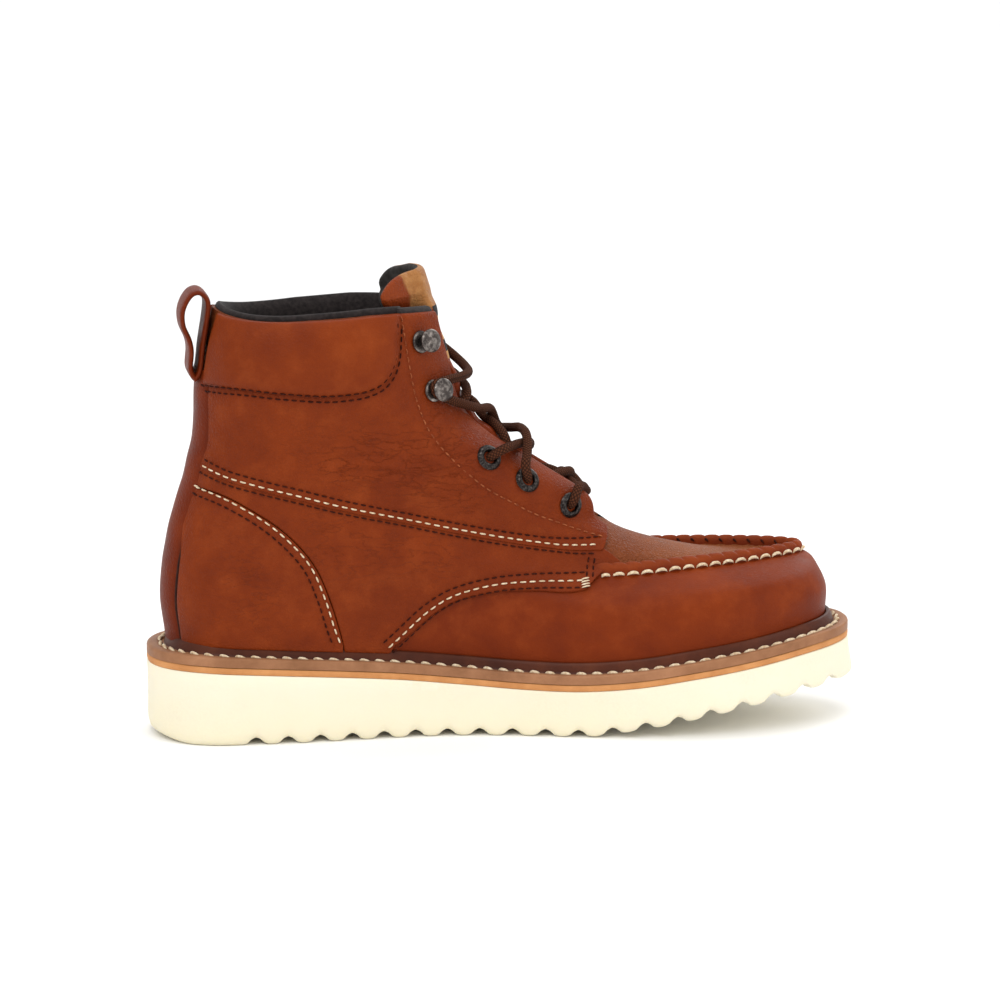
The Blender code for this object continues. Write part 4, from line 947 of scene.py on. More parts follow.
def cream_rubber():
    """Foamed sole rubber: warm cream, yellower near the ground, with fine pores."""
    made, w, shader = new_material("wedge_cream")
    place = w.place()
    parts = w.node("ShaderNodeSeparateXYZ")
    w.put(parts.inputs[0], place)
    low = w.span(parts.outputs["Z"], 0.0, 0.022, 1.0, 0.0)
    cloud = w.span(w.noise(place, 40.0, 3.0), 0.3, 0.7)
    colour = w.mix(w.times(low, 0.55), (0.82, 0.765, 0.600, 1), (0.81, 0.735, 0.505, 1))
    colour = w.mix(w.times(cloud, 0.25), colour, (0.78, 0.70, 0.50, 1))
    smudge = w.group(SMUDGE, Place=place, Scale=30.0, Amount=0.10)
    colour = w.mix(smudge.outputs["Mask"], colour, (0.45, 0.34, 0.20, 1))
    w.put(shader.inputs["Base Color"], colour)
    shader.inputs["Roughness"].default_value = 0.62
    shader.inputs["Subsurface Weight"].default_value = 0.12
    shader.inputs["Subsurface Radius"].default_value = (0.004, 0.003, 0.0015)
    height = w.plus(w.noise(place, 1300.0, 3.0), w.times(w.noise(place, 180.0, 2.0), 1.5))
    finish_bump(w, shader, height, 0.12, 0.0003)
    return made


def antique_metal(name, dark, bright, scale):
    """Dark plated metal, worn brighter in specks."""
    made, w, shader = new_material(name)
    place = w.place()
    worn = w.span(w.noise(place, scale, 5.0, 0.7), 0.44, 0.74)
    w.put(shader.inputs["Base Color"], w.mix(worn, (*dark, 1), (*bright, 1)))
    shader.inputs["Metallic"].default_value = 1.0
    w.put(shader.inputs["Roughness"], w.span(worn, 0, 1, 0.42, 0.26))
    finish_bump(w, shader, w.noise(place, 1400.0, 3.0), 0.25, 0.0002)
    return made


def lace_cord():
    """Round brown lace, braided, read along the piece's own length."""
    made, w, shader = new_material("lace_braid")
    along = w.node("ShaderNodeUVMap", uv_map="along").outputs["UV"]
    braid = w.group(BRAID, Along=along, Dark=(0.018, 0.005, 0.002, 1),
                    Light=(0.105, 0.034, 0.015, 1), Strands=7.0)
    w.put(shader.inputs["Base Color"], braid.outputs["Colour"])
    shader.inputs["Roughness"].default_value = 0.85
    shader.inputs["Specular IOR Level"].default_value = SOFT_GLOSS
    finish_bump(w, shader, braid.outputs["Height"], 0.8, 0.0005)
    return made


M = make_materials()


# Camera, light and floor
def place_camera():
    """Camera on the photograph's line of sight, looking at the middle of the boot."""
    lens = bpy.data.cameras.new("photo_view")
    lens.lens = CAMERA_LENS
    lens.sensor_width = 36.0
    seen = link("photo_view", lens)
    back = Vector((math.sin(CAMERA_TURN) * math.cos(CAMERA_RISE),
                   -math.cos(CAMERA_TURN) * math.cos(CAMERA_RISE), math.sin(CAMERA_RISE)))
    seen.location = CAMERA_AIM + back * CAMERA_FAR
    seen.rotation_euler = back.to_track_quat("Z", "Y").to_euler()
    bpy.context.scene.camera = seen


LAMPS = (
    # name, width and length in metres, watts, place
    ("key", (1.6, 1.2), 22, (-0.9, -1.5, 1.7)),
    ("fill", (1.4, 1.4), 9, (1.6, -1.3, 0.9)),
    ("top", (1.2, 1.2), 10, (0.1, 0.2, 1.9)),
    ("rim", (0.9, 0.9), 7, (1.2, 1.2, 1.2)),
)
LAMP_AIM = Vector((0, 0, 0.08))


def add_light(name, size, power, spot):
    lamp = bpy.data.lights.new(name, "AREA")
    lamp.shape = "RECTANGLE"
    lamp.size, lamp.size_y = size
    lamp.energy = power
    made = link(name, lamp)
    made.location = spot
    made.rotation_euler = (Vector(spot) - LAMP_AIM).to_track_quat("Z", "Y").to_euler()


def make_studio():
    """White floor that curves up into a backdrop, large soft lamps, bright plain surround."""
    turn = np.linspace(0, math.pi / 2, 12)
    reach = np.concatenate([[-3.0], 1.6 + 0.8 * np.sin(turn), [2.4]])
    rise = np.concatenate([[0.0], 0.8 - 0.8 * np.cos(turn), [3.0]])
    side = np.array((-3.5, 3.5))
    points = np.stack([np.broadcast_to(side[None, :], (14, 2)),
                       np.broadcast_to(reach[:, None], (14, 2)),
                       np.broadcast_to(rise[:, None], (14, 2))], -1)
    mesh = bpy.data.meshes.new("studio_floor")
    mesh.from_pydata(points.reshape(-1, 3).tolist(), [], grid_faces(14, 2).tolist())
    mesh.shade_smooth()
    floor = link("studio_floor", mesh)
    made, _, shader = new_material("studio_white")
    shader.inputs["Base Color"].default_value = (0.93, 0.93, 0.93, 1)
    shader.inputs["Roughness"].default_value = 0.9
    mesh.materials.append(made)
    world = bpy.data.worlds.new("studio")
    world.use_nodes = True
    world.node_tree.nodes["Background"].inputs[0].default_value = (1, 1, 1, 1)
    world.node_tree.nodes["Background"].inputs[1].default_value = 0.80
    bpy.context.scene.world = world
    for lamp in LAMPS:
        add_light(*lamp)


place_camera()
make_studio()
bpy.context.scene.view_settings.view_transform = "Standard"


# Sole, midsole and welt
def lug_rise(x):
    """Ribs across the tread: a rounded notch every LUG_PITCH, between the plain ends."""
    phase = ((x - LUG_START) / LUG_PITCH + 0.5) % 1.0
    rise = LUG_DEPTH * np.interp(phase, LUG_FORM[:, 0], LUG_FORM[:, 1])
    inside = (x > LUG_START - LUG_PITCH / 2) & (x < LUG_END + LUG_PITCH * 0.2)
    return np.where(inside, rise, 0.0)


def sole_layer(name, finish, low, high, side_form, stations, flare=0.0):
    """Layer of the sole: rings across it at stations bunched at the ends. A ring runs from
    the outline in over the top, and its side follows a form of (inset, height share)."""
    s = np.linspace(0, 1, stations)
    ring = []
    for side, order in ((-1.0, 1), (1.0, -1)):
        edge = np.column_stack(loop_line(outline_sizes(), side, s))
        inward = np.column_stack([edge[:, 0] * 0.985, swing(edge[:, 0])]) - edge
        room = np.linalg.norm(inward, axis=1)
        inward /= np.maximum(room, 1e-9)[:, None]
        rows = []
        for inset, share in side_form[::order]:
            xy = edge + inward * np.minimum(inset, room)[:, None]
            z = low(edge[:, 0]) + (high(edge[:, 0]) - low(edge[:, 0])) * share
            out = flare * np.clip((edge[:, 0] / SOLE_LENGTH - 0.28) / 0.22, 0, 1) * (1 - share)
            rows.append(np.column_stack([xy[:, 0] + out, xy[:, 1], z]))
        ring.append(np.array(rows))
    inner_side, outer_side = ring
    start, end = inner_side[-1], outer_side[0]
    bottom = [start + (end - start) * t for t in np.linspace(0, 1, 22)[1:-1]]
    for row in bottom:
        row[:, 2] = low(row[:, 0])
    grid = crossed([*inner_side, *bottom, *outer_side])
    return make_mesh(name, grid, grid_faces(*grid.shape[:2], wrap=True), finish, angle=40)


# Side walls from the top down: how far in from the outline, share of the height
WEDGE_SIDE = ((0.0030, 1.0), (0.0004, 1.0), (0.0, 0.975), (0.00035, 0.80), (0.0005, 0.55),
              (0.0004, 0.35), (0.0002, 0.18), (0.0005, 0.08), (0.0014, 0.022), (0.0028, 0.0))
MIDSOLE_SIDE = ((0.0030, 1.0), (0.0006, 1.0), (0.0002, 0.9), (0.0, 0.6), (0.0, 0.35),
                (0.0003, 0.08), (0.0008, 0.0), (0.0030, 0.0))


def make_sole():
    """Cream wedge with cross ribs, a soft lower edge and a slightly hollow side wall."""
    wedge = sole_layer("wedge_sole", M["cream"], lambda x: tread_height(x) + lug_rise(x),
                       wedge_top, WEDGE_SIDE, 620, TOE_FLARE)
    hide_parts("outsole")
    layer = sole_layer("tan_midsole", M["mid"], lambda x: wedge_top(x) + GAP * 0.1,
                       lambda x: wedge_top(x) + GAP * 1.6 + MIDSOLE_THICK, MIDSOLE_SIDE, 320)
    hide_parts("midsole")


def outline_point(u):
    """Point of the sole's outline, on the sole's top, with u as on the last."""
    side = np.where(u < 0, -1.0, 1.0)[:, None]
    sizes = {name: np.full((len(u), 1), size) for name, size in outline_sizes().items()}
    x, y = loop_line(sizes, side, ARC_STEPS[None, :])
    walked = np.concatenate([np.zeros((len(u), 1)),
                             np.cumsum(np.hypot(np.diff(x), np.diff(y)), 1)], 1)
    at = np.abs(u) * walked[:, -1]
    points = np.array([(np.interp(at[k], walked[k], x[k]), np.interp(at[k], walked[k], y[k]))
                       for k in range(len(u))])
    return np.column_stack([points, seat(points[:, 0])])


WELT_SHAPE = ((0.00, 0.02), (0.00, 0.10), (0.00, 0.34), (0.02, 0.42), (0.07, 0.47), (0.20, 0.49),
              (0.34, 0.485), (0.41, 0.44), (0.47, 0.405), (0.53, 0.41), (0.60, 0.46),
              (0.66, 0.58), (0.71, 0.76), (0.77, 0.90), (0.85, 0.975), (0.93, 0.985),
              (0.99, 0.93), (1.02, 0.70), (1.02, 0.02))
WELT_GROOVE = (0.47, 0.405)
RIB_COLUMN = 10


def welt_rings(u, form):
    """Welt across its form: from the outline to the upper, heights as shares of its rib."""
    edge = outline_point(u)
    feet = skin(np.zeros_like(u), u)
    heads = skin(row_at_height(u, WELT_RIDGE), u)
    rings = []
    for across, height in form:
        inner = feet + (heads - feet) * height
        point = edge + (inner - edge) * across
        point[:, 2] = seat(point[:, 0]) - GAP * 0.5 + WELT_RIDGE * height
        rings.append(point)
    return np.array(rings)


def make_welt():
    """Welt strip with a stitch groove and a dark rib against the leather."""
    u = np.linspace(-1, 1, 481)[:-1]
    grid = crossed(welt_rings(u, WELT_SHAPE))
    rows, columns = grid.shape[:2]
    closed = np.concatenate([grid, grid[:1]])
    faces = grid_faces(rows + 1, columns, wrap=True)
    # Painted shade along the stitch groove
    seam_shade = np.zeros((rows + 1, columns))
    seam_shade[:, 7:11] = (0.35, 0.9, 0.9, 0.5)
    face_finish = np.zeros(len(faces), np.int32)
    column = np.tile(np.arange(columns), rows)
    face_finish[column >= RIB_COLUMN] = 1
    strip = make_mesh("welt_band", closed, faces, [M["welt"], M["rib"]],
                      face_finish=face_finish, marks={"seam": seam_shade, "pull_and_highlight": seam_shade * 0})
    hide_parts("welt")
    u = np.linspace(-1, 1, 900)
    groove = welt_rings(u, (WELT_GROOVE,))[0] + (0, 0, 0.0004)
    normal = np.tile((0.0, 0.0, 1.0), (len(groove), 1))
    out = outline_point(u) - skin(np.zeros_like(u), u)
    out[:, 2] = 0
    normal = normal * 0.86 + unit(out) * 0.5
    sewn("welt_stitches", [(groove, normal)], WELT_STITCH, M["white"], rise=0.35, slant=0.0012)


# Upper
def welt_line(start, end, side, count):
    """A line just inside the welt's rib, between two x, in metres."""
    return find(np.linspace(start, end, count), WELT_RIDGE * 0.80, side)


def strip_turn(rows, side, lap=GAP):
    """u beside the heel strip at the given rows."""
    rows = np.asarray(rows, float)
    return side * (1 - (STRIP_WIDTH / 2 + lap) / half_girth(rows, side))


def end_on_strip(line, side, lap=-0.0001):
    """The line with its first point moved under the heel strip's edge."""
    line = line.copy()
    line[1, 0] = strip_turn(line[0, 0], side, lap)
    return line


EDGE_STEPS = np.array((0.0, 0.00012, 0.0004, 0.0009))
EDGE_RISES = np.array((0.35, 0.72, 0.93, 1.0))


def edged(count, length):
    """Shares from 0 to 1 with a few steps close to both ends; also the rise of each."""
    inner = np.linspace(EDGE_STEPS[-1], length - EDGE_STEPS[-1], count - 6)
    at = np.concatenate([EDGE_STEPS[:-1], inner, length - EDGE_STEPS[:-1][::-1]])
    rise = np.concatenate([EDGE_RISES[:-1], np.ones(count - 6), EDGE_RISES[:-1][::-1]])
    return at / length, rise


CREASES = (
    # side share points, depth, width
    (((-.245, .60), (-.19, .615), (-.13, .60), (-.075, .575)), 0.00055, 0.0022),
    (((-.235, .565), (-.18, .575), (-.12, .555), (-.06, .52)), 0.00045, 0.0020),
    (((-.215, .645), (-.16, .655), (-.11, .645), (-.07, .62)), 0.00035, 0.0020),
    (((-.26, .40), (-.225, .385), (-.19, .36)), 0.00030, 0.0018),
    (((-.265, .335), (-.235, .33), (-.205, .31)), 0.00030, 0.0016),
    (((-.165, .355), (-.13, .34), (-.10, .33)), 0.00026, 0.0016),
    (((-.10, .70), (-.085, .66), (-.06, .62)), 0.00035, 0.0020),
    (((-.375, .30), (-.36, .24), (-.355, .17)), 0.00030, 0.0030),
)


def panel(name, lower, higher, height, shape, finish, rows_near, puff=None, base=0.0002,
          creases=True):
    """Overlay between two lines of the skin: straight in (row, turn) from line to line, its
    edge rolled over the first millimetre, sunk along its sewn rows and in its creases, with a
    soft ridge beside each crease."""
    bands, columns = shape
    side_share, side_rise = edged(columns, walked_length(skin(*higher))[-1])
    place = np.linspace(0, 1, lower.shape[1])
    low = np.array([np.interp(side_share, place, lower[k]) for k in (0, 1)])
    high = np.array([np.interp(side_share, place, higher[k]) for k in (0, 1)])
    span = np.linalg.norm(skin(*high) - skin(*low), axis=1)
    span = np.maximum(span, EDGE_STEPS[-1] * 2.4)
    share = np.empty((bands, columns))
    inner = np.linspace(0, 1, bands - 6)[:, None]
    share[3:-3] = (EDGE_STEPS[-1] + inner * (span - 2 * EDGE_STEPS[-1])) / span
    share[:3] = EDGE_STEPS[:3, None] / span
    share[-3:] = 1 - EDGE_STEPS[:3][::-1, None] / span
    rise = np.ones(bands)
    rise[:3], rise[-3:] = EDGE_RISES[:3], EDGE_RISES[:3][::-1]
    rise = np.minimum(rise[:, None], side_rise[None, :])
    v = low[0] + (high[0] - low[0]) * share
    u = low[1] + (high[1] - low[1]) * share
    ground = skin(v, u)
    tall = height * rise
    # seam mark: the seams' own tone, and painted shade in the rows' troughs, the creases and the
    # rolled edge
    seam_shade = np.zeros_like(tall)
    for line, depth, width in rows_near:
        far = near(ground, line)
        tall = tall - depth * np.exp(-(far / width) ** 2)
        seam_shade = np.maximum(seam_shade, np.exp(-(far / (width * 1.3)) ** 2))
    pull_and_highlight = np.zeros_like(tall)
    creased = np.zeros_like(tall)
    if creases:
        side = -1 if u.mean() < 0 else 1
        for points, depth, width in CREASES:
            line = skin(*seam(points, side, 30))
            far = near(ground, line)
            trough = np.exp(-(far / width) ** 2)
            fold = np.exp(-((far - width * 1.6) / width) ** 2)
            tall = tall - depth * trough + depth * 0.5 * fold
            creased = np.maximum(creased, np.exp(-(far / 0.010) ** 2))
            seam_shade = np.maximum(seam_shade, trough * 0.12)
    if puff is not None:
        tall = tall + puff(side_share[None, :], share) * rise
    edge_mark = np.clip((1.0 - rise) * 1.2, 0, 1)
    seam_shade = np.maximum(seam_shade * 0.40, edge_mark)
    return slab(name, over(v, u, tall), over(v, u, base), finish,
                marks={"seam": seam_shade, "pull_and_highlight": pull_and_highlight, "fold": creased})


def ridge_fade(x):
    return np.clip((x / SOLE_LENGTH - RIDGE_FADE[0]) / (RIDGE_FADE[1] - RIDGE_FADE[0]), 0, 1)


def ridge_pace(u):
    """Metres across the moc seam for one row of v, at each u."""
    low = skin(np.full_like(u, ROW["ridge"] - 0.1), u)
    high = skin(np.full_like(u, ROW["ridge"] + 0.1), u)
    return np.linalg.norm(high - low, axis=1) / 0.2


def ridge_walk(u):
    """Walked length along the moc seam at each u, from its inner end."""
    return walked_length(skin(np.full_like(u, float(ROW["ridge"])), u))


def gathers(walked, centre):
    """Wave along the moc seam, one swing for each stitch."""
    return np.cos((walked - centre) / SADDLE_STITCH[0] * 2 * math.pi)[None, :]


# Gathers beside the moc seam, on the vamp and on the plug
PUCKER_DEPTH = 0.00032
PUCKER_REACH = 0.0026
PLUG_PUCKER_DEPTH = 0.00030
PLUG_PUCKER_AT = 0.0025
PLUG_PUCKER_REACH = 0.0022


def make_vamp():
    """Vamp from the feather edge to the moc seam, gathered in small puckers beside it."""
    v = np.concatenate([np.linspace(0, 3, 26), np.linspace(3, 4.2, 20)[1:],
                        np.linspace(4.2, 5, 26)[1:]])
    u = np.concatenate([np.linspace(-1, -0.42, 60), np.linspace(-0.42, 0.42, 420)[1:-1],
                        np.linspace(0.42, 1, 60)])
    v, u = np.meshgrid(v, u, indexing="ij")
    line_u = u[0]
    along = ridge_walk(line_u)
    centre = np.interp(0.0, line_u, along)
    on_seam = ridge_fade(skin(np.full_like(line_u, 5.0), line_u)[:, 0])
    beside = (5.0 - v) * ridge_pace(line_u)[None, :]
    pucker = gathers(along, centre) * np.exp(-beside / PUCKER_REACH)
    tall = -PUCKER_DEPTH * (pucker + 0.4 * np.exp(-beside / 0.002)) * on_seam[None, :]
    # Painted shade at the foot of the moc seam and low down beside the welt
    seam_shade = 0.5 * np.exp(-beside / 0.0022) * on_seam[None, :]
    ground = skin(v, u)
    height = ground[..., 2] - seat(ground[..., 0])
    seam_shade = np.maximum(seam_shade, 0.8 * np.exp(-np.maximum(height - WELT_RIDGE, 0) / 0.004))
    # Painted highlight: lighter towards the toe
    toe = np.clip((ground[..., 0] / SOLE_LENGTH - 0.30) / 0.14, 0, 1)
    pull_and_highlight = 0.05 * toe * np.clip((height / UPPER_HEIGHT - 0.10) / 0.12, 0, 1)
    piece = slab("vamp_skin", over(v, u, tall), over(v, u, -WALL),
                 [M["vamp"], M["inside"]], marks={"seam": seam_shade, "pull_and_highlight": pull_and_highlight},
                 inner_finish=1)


def make_shell():
    """Upper above the moc seam: pebbled plug in front, hidden wall under the quarters behind,
    open at the throat and the collar, lined inside."""
    rows = np.concatenate([np.linspace(5, 8.6, 64), np.linspace(8.6, 15, 50)[1:]])
    t = np.linspace(0, 1, 150)
    s = 0.35 * t + 0.65 * (0.5 - 0.5 * np.cos(math.pi * t ** 0.8))
    columns = 2 * len(t) - 1
    v = np.repeat(rows[:, None], columns, 1)
    opening = (THROAT_HALF + 0.0012) * np.clip((rows - ROW["throat"]) / 0.4, 0, 1)
    edge = {side: side * turn_at(rows, side * opening) for side in (-1, 1)}
    u = np.empty_like(v)
    u[:, :len(t)] = edge[1][:, None] + (1 - edge[1][:, None]) * s[None, :]
    u[:, len(t) - 1:] = -(edge[-1][:, None] + (1 - edge[-1][:, None]) * s[None, ::-1])
    open_row = int(np.searchsorted(rows, ROW["throat"]))
    v = v + (collar_row(u) - 15.0) * np.clip(v - 14.0, 0, 1)
    ground = skin(v, u)
    beside = (v - 5.0) * ridge_pace(u[0])[None, :]
    fade = ridge_fade(skin(np.full(columns, 5.0), u[0])[:, 0])[None, :]
    around = np.linspace(-1, 1, 800)
    walked, centre = (np.interp(at, around, ridge_walk(around)) for at in (u[0], 0.0))
    pucker = np.exp(-((beside - PLUG_PUCKER_AT) / PLUG_PUCKER_REACH) ** 2) * fade
    tall = -PLUG_PUCKER_DEPTH * gathers(walked, centre) * pucker
    # Painted shade beside the moc seam
    seam_shade = 0.55 * np.exp(-np.maximum(beside, 0) / 0.0035) * fade
    # Painted highlight: the plug lighter towards its front, for the bright surround's reflection
    pull_and_highlight = 0.30 * np.clip((ground[..., 0] / SOLE_LENGTH - 0.18) / 0.1, 0, 1) * (1 - seam_shade)
    shell = slab("shell_skin", over(v, u, tall), over(v, u, -WALL),
                 [M["plug"], M["inside"]], marks={"seam": seam_shade, "pull_and_highlight": pull_and_highlight},
                 inner_finish=1, open_rows=open_row)
    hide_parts("upper")


RIDGE_SHAPE = ((-1.02, -0.10), (-0.98, 0.18), (-0.93, 0.48), (-0.82, 0.74), (-0.62, 0.92),
               (-0.36, 1.0), (-0.10, 0.97), (0.12, 0.84), (0.28, 0.62), (0.38, 0.36),
               (0.46, 0.10), (0.50, -0.12))


def ridge_place(u, across, height):
    """Points on the raised moc seam: across it in ridge widths, up in ridge heights."""
    seam_row = np.full_like(u, float(ROW["ridge"]))
    point = skin(seam_row + across * RIDGE_WIDTH / ridge_pace(u), u)
    point[:, 2] += height * RIDGE_HEIGHT * ridge_fade(skin(seam_row, u)[:, 0])
    return point


def make_moc_seam():
    """Raised seam: the folded rim of the plug, pinched wherever a thick stitch pulls over it;
    stitches lie along its foot and short dark ends show along its top."""
    u = np.linspace(-0.50, 0.50, 1100)
    middle = ridge_place(u, 0.0, 0.0)
    keep = ridge_fade(middle[:, 0]) > 0.02
    u = u[keep]
    walked = ridge_walk(u)
    centre = np.interp(0.0, u, walked)
    phase = (walked - centre) / SADDLE_STITCH[0]
    pinch = np.exp(-((phase - np.round(phase)) / 0.17) ** 2)
    rings = []
    for across, height in RIDGE_SHAPE:
        top = np.clip(height, 0, 1)
        narrow = 1 - 0.10 * pinch * top
        lift = height * (1 - 0.13 * pinch * top)
        middle_shift = 0.10 * pinch * (across > 0.1) * top
        rings.append(ridge_place(u, across * narrow - middle_shift * 0.6, lift))
    grid = crossed(rings)
    across, heights = np.array(RIDGE_SHAPE).T
    # Painted shade at the ridge's foot and in its pinches; top lighter by pull-up and a painted
    # highlight
    foot = np.exp(-np.clip(heights, 0, 1) / 0.22)[None, :]
    seam_shade = np.clip(0.75 * foot + 0.55 * pinch[:, None] * (across > -0.4)[None, :], 0, 1)
    pull_and_highlight = np.broadcast_to((0.16 * (heights > 0.5))[None, :], seam_shade.shape)
    piece = make_mesh("moc_ridge", grid, capped_faces(*grid.shape[:2]), M["vamp"], angle=60,
                      marks={"seam": seam_shade, "pull_and_highlight": pull_and_highlight})
    shown = ridge_fade(ridge_place(u, 0.0, 0.0)[:, 0]) > 0.35
    u = u[shown]
    foot_line = ridge_place(u, -1.06, 0.20)
    out = outward(np.full_like(u, 4.75), u)
    shift = ((np.interp(0.0, u, ridge_walk(u))) / SADDLE_STITCH[0]) % 1.0
    sewn("moc_stitches", [(foot_line, out)], SADDLE_STITCH, M["white"], rise=0.42, first=shift)
    top_line = ridge_place(u, 0.36, 0.42)
    up = outward(np.full_like(u, 5.4), u) * 0.7 + (-0.3, 0, 0.5)
    sewn("moc_stitch_ends", [(top_line, up)], (SADDLE_STITCH[0], 0.0021, 0.0011), M["dark"],
         rise=0.2, first=(shift + 0.5) % 1.0, slant=0.0016)


SEWN_LINES = {
    # shares, points, shift across the row
    "long_row": (LONG_ROW, 90, 0.0), "long_up": (LONG_ROW, 90, 0.0027),
    "long_down": (LONG_ROW, 90, -0.0031), "counter_row": (COUNTER_ROW, 80, 0.0),
    "counter_in": (COUNTER_ROW, 80, -0.0032), "vamp_row": (VAMP_ROW, 80, 0.0),
    "vamp_up": (VAMP_ROW, 80, 0.0030), "vamp_down": (VAMP_ROW, 80, -0.0028),
    "cuff_in": (CUFF_ROW, 80, 0.0), "cuff_out": (CUFF_ROW, 80, -0.0026),
    "tab_front": (TAB_ROW, 30, 0.0), "tab_back": (TAB_ROW, 30, 0.0026),
}
ROWS_TO_STRIP = ("long_row", "long_up", "long_down", "counter_row", "counter_in", "cuff_in",
                 "cuff_out")
SEWN_HEIGHTS = {
    # height over the skin, thread
    "long_row": (SHAFT_OUT, "white"), "long_up": (SHAFT_OUT, "dark"),
    "long_down": (SHAFT_OUT, "dark"), "counter_row": (COUNTER_OUT, "white"),
    "counter_in": (COUNTER_OUT, "dark"), "vamp_row": (QUARTER_OUT, "white"),
    "vamp_up": (QUARTER_OUT, "dark"), "vamp_down": (QUARTER_OUT, "dark"),
    "cuff_in": (SHAFT_OUT + 0.0018, "dark"), "cuff_out": (SHAFT_OUT, "dark"),
    "tab_front": (QUARTER_OUT + 0.0003, "dark"), "tab_back": (QUARTER_OUT + 0.0003, "dark"),
    "facing": (SHAFT_OUT, "tone"),
}
STITCH_SINK = 0.00022
# Depth and width of the trough that a row pulls into the leather
DARK_TROUGH = (0.00028, 0.0010)
SEWN_TROUGHS = {"long_row": (0.00028, 0.0011), "counter_row": (0.00028, 0.0011),
                "vamp_row": (0.00028, 0.0011), "cuff_in": (0.0004, 0.0012),
                "facing": (0.00022, 0.0010)}
TACK_HEIGHTS = (.262, .269, .276, .283)
TACK_STITCH = (0.0044, 0.0038, 0.0007)


def make_panels():
    """Counter, quarter, shaft and cuff on both sides, with all their sewn rows."""
    stitched = {"white": [], "dark": [], "tone": []}
    tack = []
    for side, name in ((-1, "inner"), (1, "outer")):
        lines = {row: seam(points, side, count, shift)
                 for row, (points, count, shift) in SEWN_LINES.items()}
        for row in ROWS_TO_STRIP:
            lines[row] = end_on_strip(lines[row], side, 0)
        facing = np.array(FACING_ROW).T
        facing[1] *= -side
        lines["facing"] = np.array([curve(np.arange(9), row, np.linspace(0, 8, 80))
                                    for row in facing])
        for row, (height, where) in SEWN_HEIGHTS.items():
            stitched[where].append(on_skin(lines[row], height - STITCH_SINK))
        tack += [on_skin(seam(((.096, low), (.111, low + .004)), side, 12), QUARTER_OUT)
                 for low in TACK_HEIGHTS]
        sunk = {row: (skin(*resample(line, 260)), *SEWN_TROUGHS.get(row, DARK_TROUGH))
                for row, line in lines.items()}
        rows_counter = [sunk["counter_row"], sunk["counter_in"]]
        rows_vamp = [sunk["vamp_row"], sunk["vamp_up"], sunk["vamp_down"]]

        lower = welt_line(-.443 * SOLE_LENGTH, COUNTER_EDGE[-1][0] * SOLE_LENGTH, side, 60)
        lower = end_on_strip(lower, side)
        counter = panel("counter_skin_" + name, lower,
                        end_on_strip(seam(COUNTER_EDGE, side, 60), side), COUNTER_OUT,
                        (60, 110), M["quarter"], rows_counter)
        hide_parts("counter_" + name)

        rear = end_on_strip(seam(COUNTER_EDGE, side, 60, 0.0001), side)
        middle = welt_line((COUNTER_EDGE[-1][0] + 0.002) * SOLE_LENGTH,
                           (VAMP_EDGE[0][0] - 0.002) * SOLE_LENGTH, side, 30)
        front = seam(VAMP_EDGE, side, 90)
        lower = np.concatenate([rear[:, :-1], middle, front], axis=1)
        lower = resample(lower, 200)
        higher = end_on_strip(seam(LONG_EDGE, side, 200, 0.0016), side)
        x = skin(*lower)[:, 0]
        walked = walked_length(skin(*lower))
        share = 0.25 * walked / walked[-1]
        share = share + 0.75 * (x - x[0]) / (x[-1] - x[0])
        share = np.maximum.accumulate(share)
        index = np.arange(higher.shape[1])
        higher = np.array([np.interp(share * (len(index) - 1), index, row) for row in higher])
        quarter = panel("quarter_skin_" + name, lower, higher, QUARTER_OUT, (56, 260),
                        M["quarter"], rows_vamp + rows_counter)
        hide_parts("quarter_" + name)

        lower = resample(end_on_strip(seam(LONG_EDGE, side, 120, 0.0001), side), 260)
        back = strip_turn(float(ROW["collar"]), side, -0.0001)
        mouth = turn_at(float(ROW["collar"]), side * THROAT_HALF)
        top_u = np.linspace(back, mouth, 120)
        top = np.array([collar_row(top_u) - 0.01, top_u])
        edge_rows = np.concatenate([np.linspace(14.72, 9.5, 100), np.linspace(9.5, 8.78, 40)])
        front = np.array([edge_rows, turn_at(edge_rows, np.full(140, side * THROAT_HALF))])
        higher = np.concatenate([top, front], axis=1)
        shaft = panel("shaft_skin_" + name, lower, higher, SHAFT_OUT, (84, 300), M["shaft"],
                      [sunk[row] for row in ("long_row", "long_up", "long_down", "facing",
                                             "cuff_out", "cuff_in")])
        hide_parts("shaft_" + name)

        lower = end_on_strip(seam(CUFF_EDGE, side, 100), side)
        back = strip_turn(float(ROW["collar"]), side, -0.0001)
        higher_u = back + (lower[1][-1] - back) * np.linspace(0, 1, 100) ** 0.9
        higher = np.array([collar_row(higher_u), higher_u])

        def dome(along, share):
            body = np.clip(4 * share * (1 - share), 0, 1) ** 0.45
            ends = np.clip(np.minimum(along / 0.10, (1 - along) / 0.13), 0, 1) ** 0.6
            return CUFF_PUFF * body * ends

        cuff = panel("cuff_skin_" + name, lower, higher, SHAFT_OUT + 0.0011, (50, 130),
                     M["cuff"], [sunk["cuff_in"]], dome, base=0.0024,
                     creases=False)
        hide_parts("cuff_" + name)
    sewn("cream_rows", stitched["white"], SEAM_STITCH, M["white"])
    sewn("brown_rows", stitched["dark"], DARK_STITCH, M["dark"], rise=0.28)
    sewn("tan_rows", stitched["tone"], DARK_STITCH, M["tone"], rise=0.30)
    sewn("tab_tacks", tack, TACK_STITCH, M["white"])


# Painted shadow along both edges of the heel strip, drawn as a dark cord in the groove: its
# thickness and its height over the skin
STRIP_EDGE = 0.0014
STRIP_EDGE_RISE = 0.0011


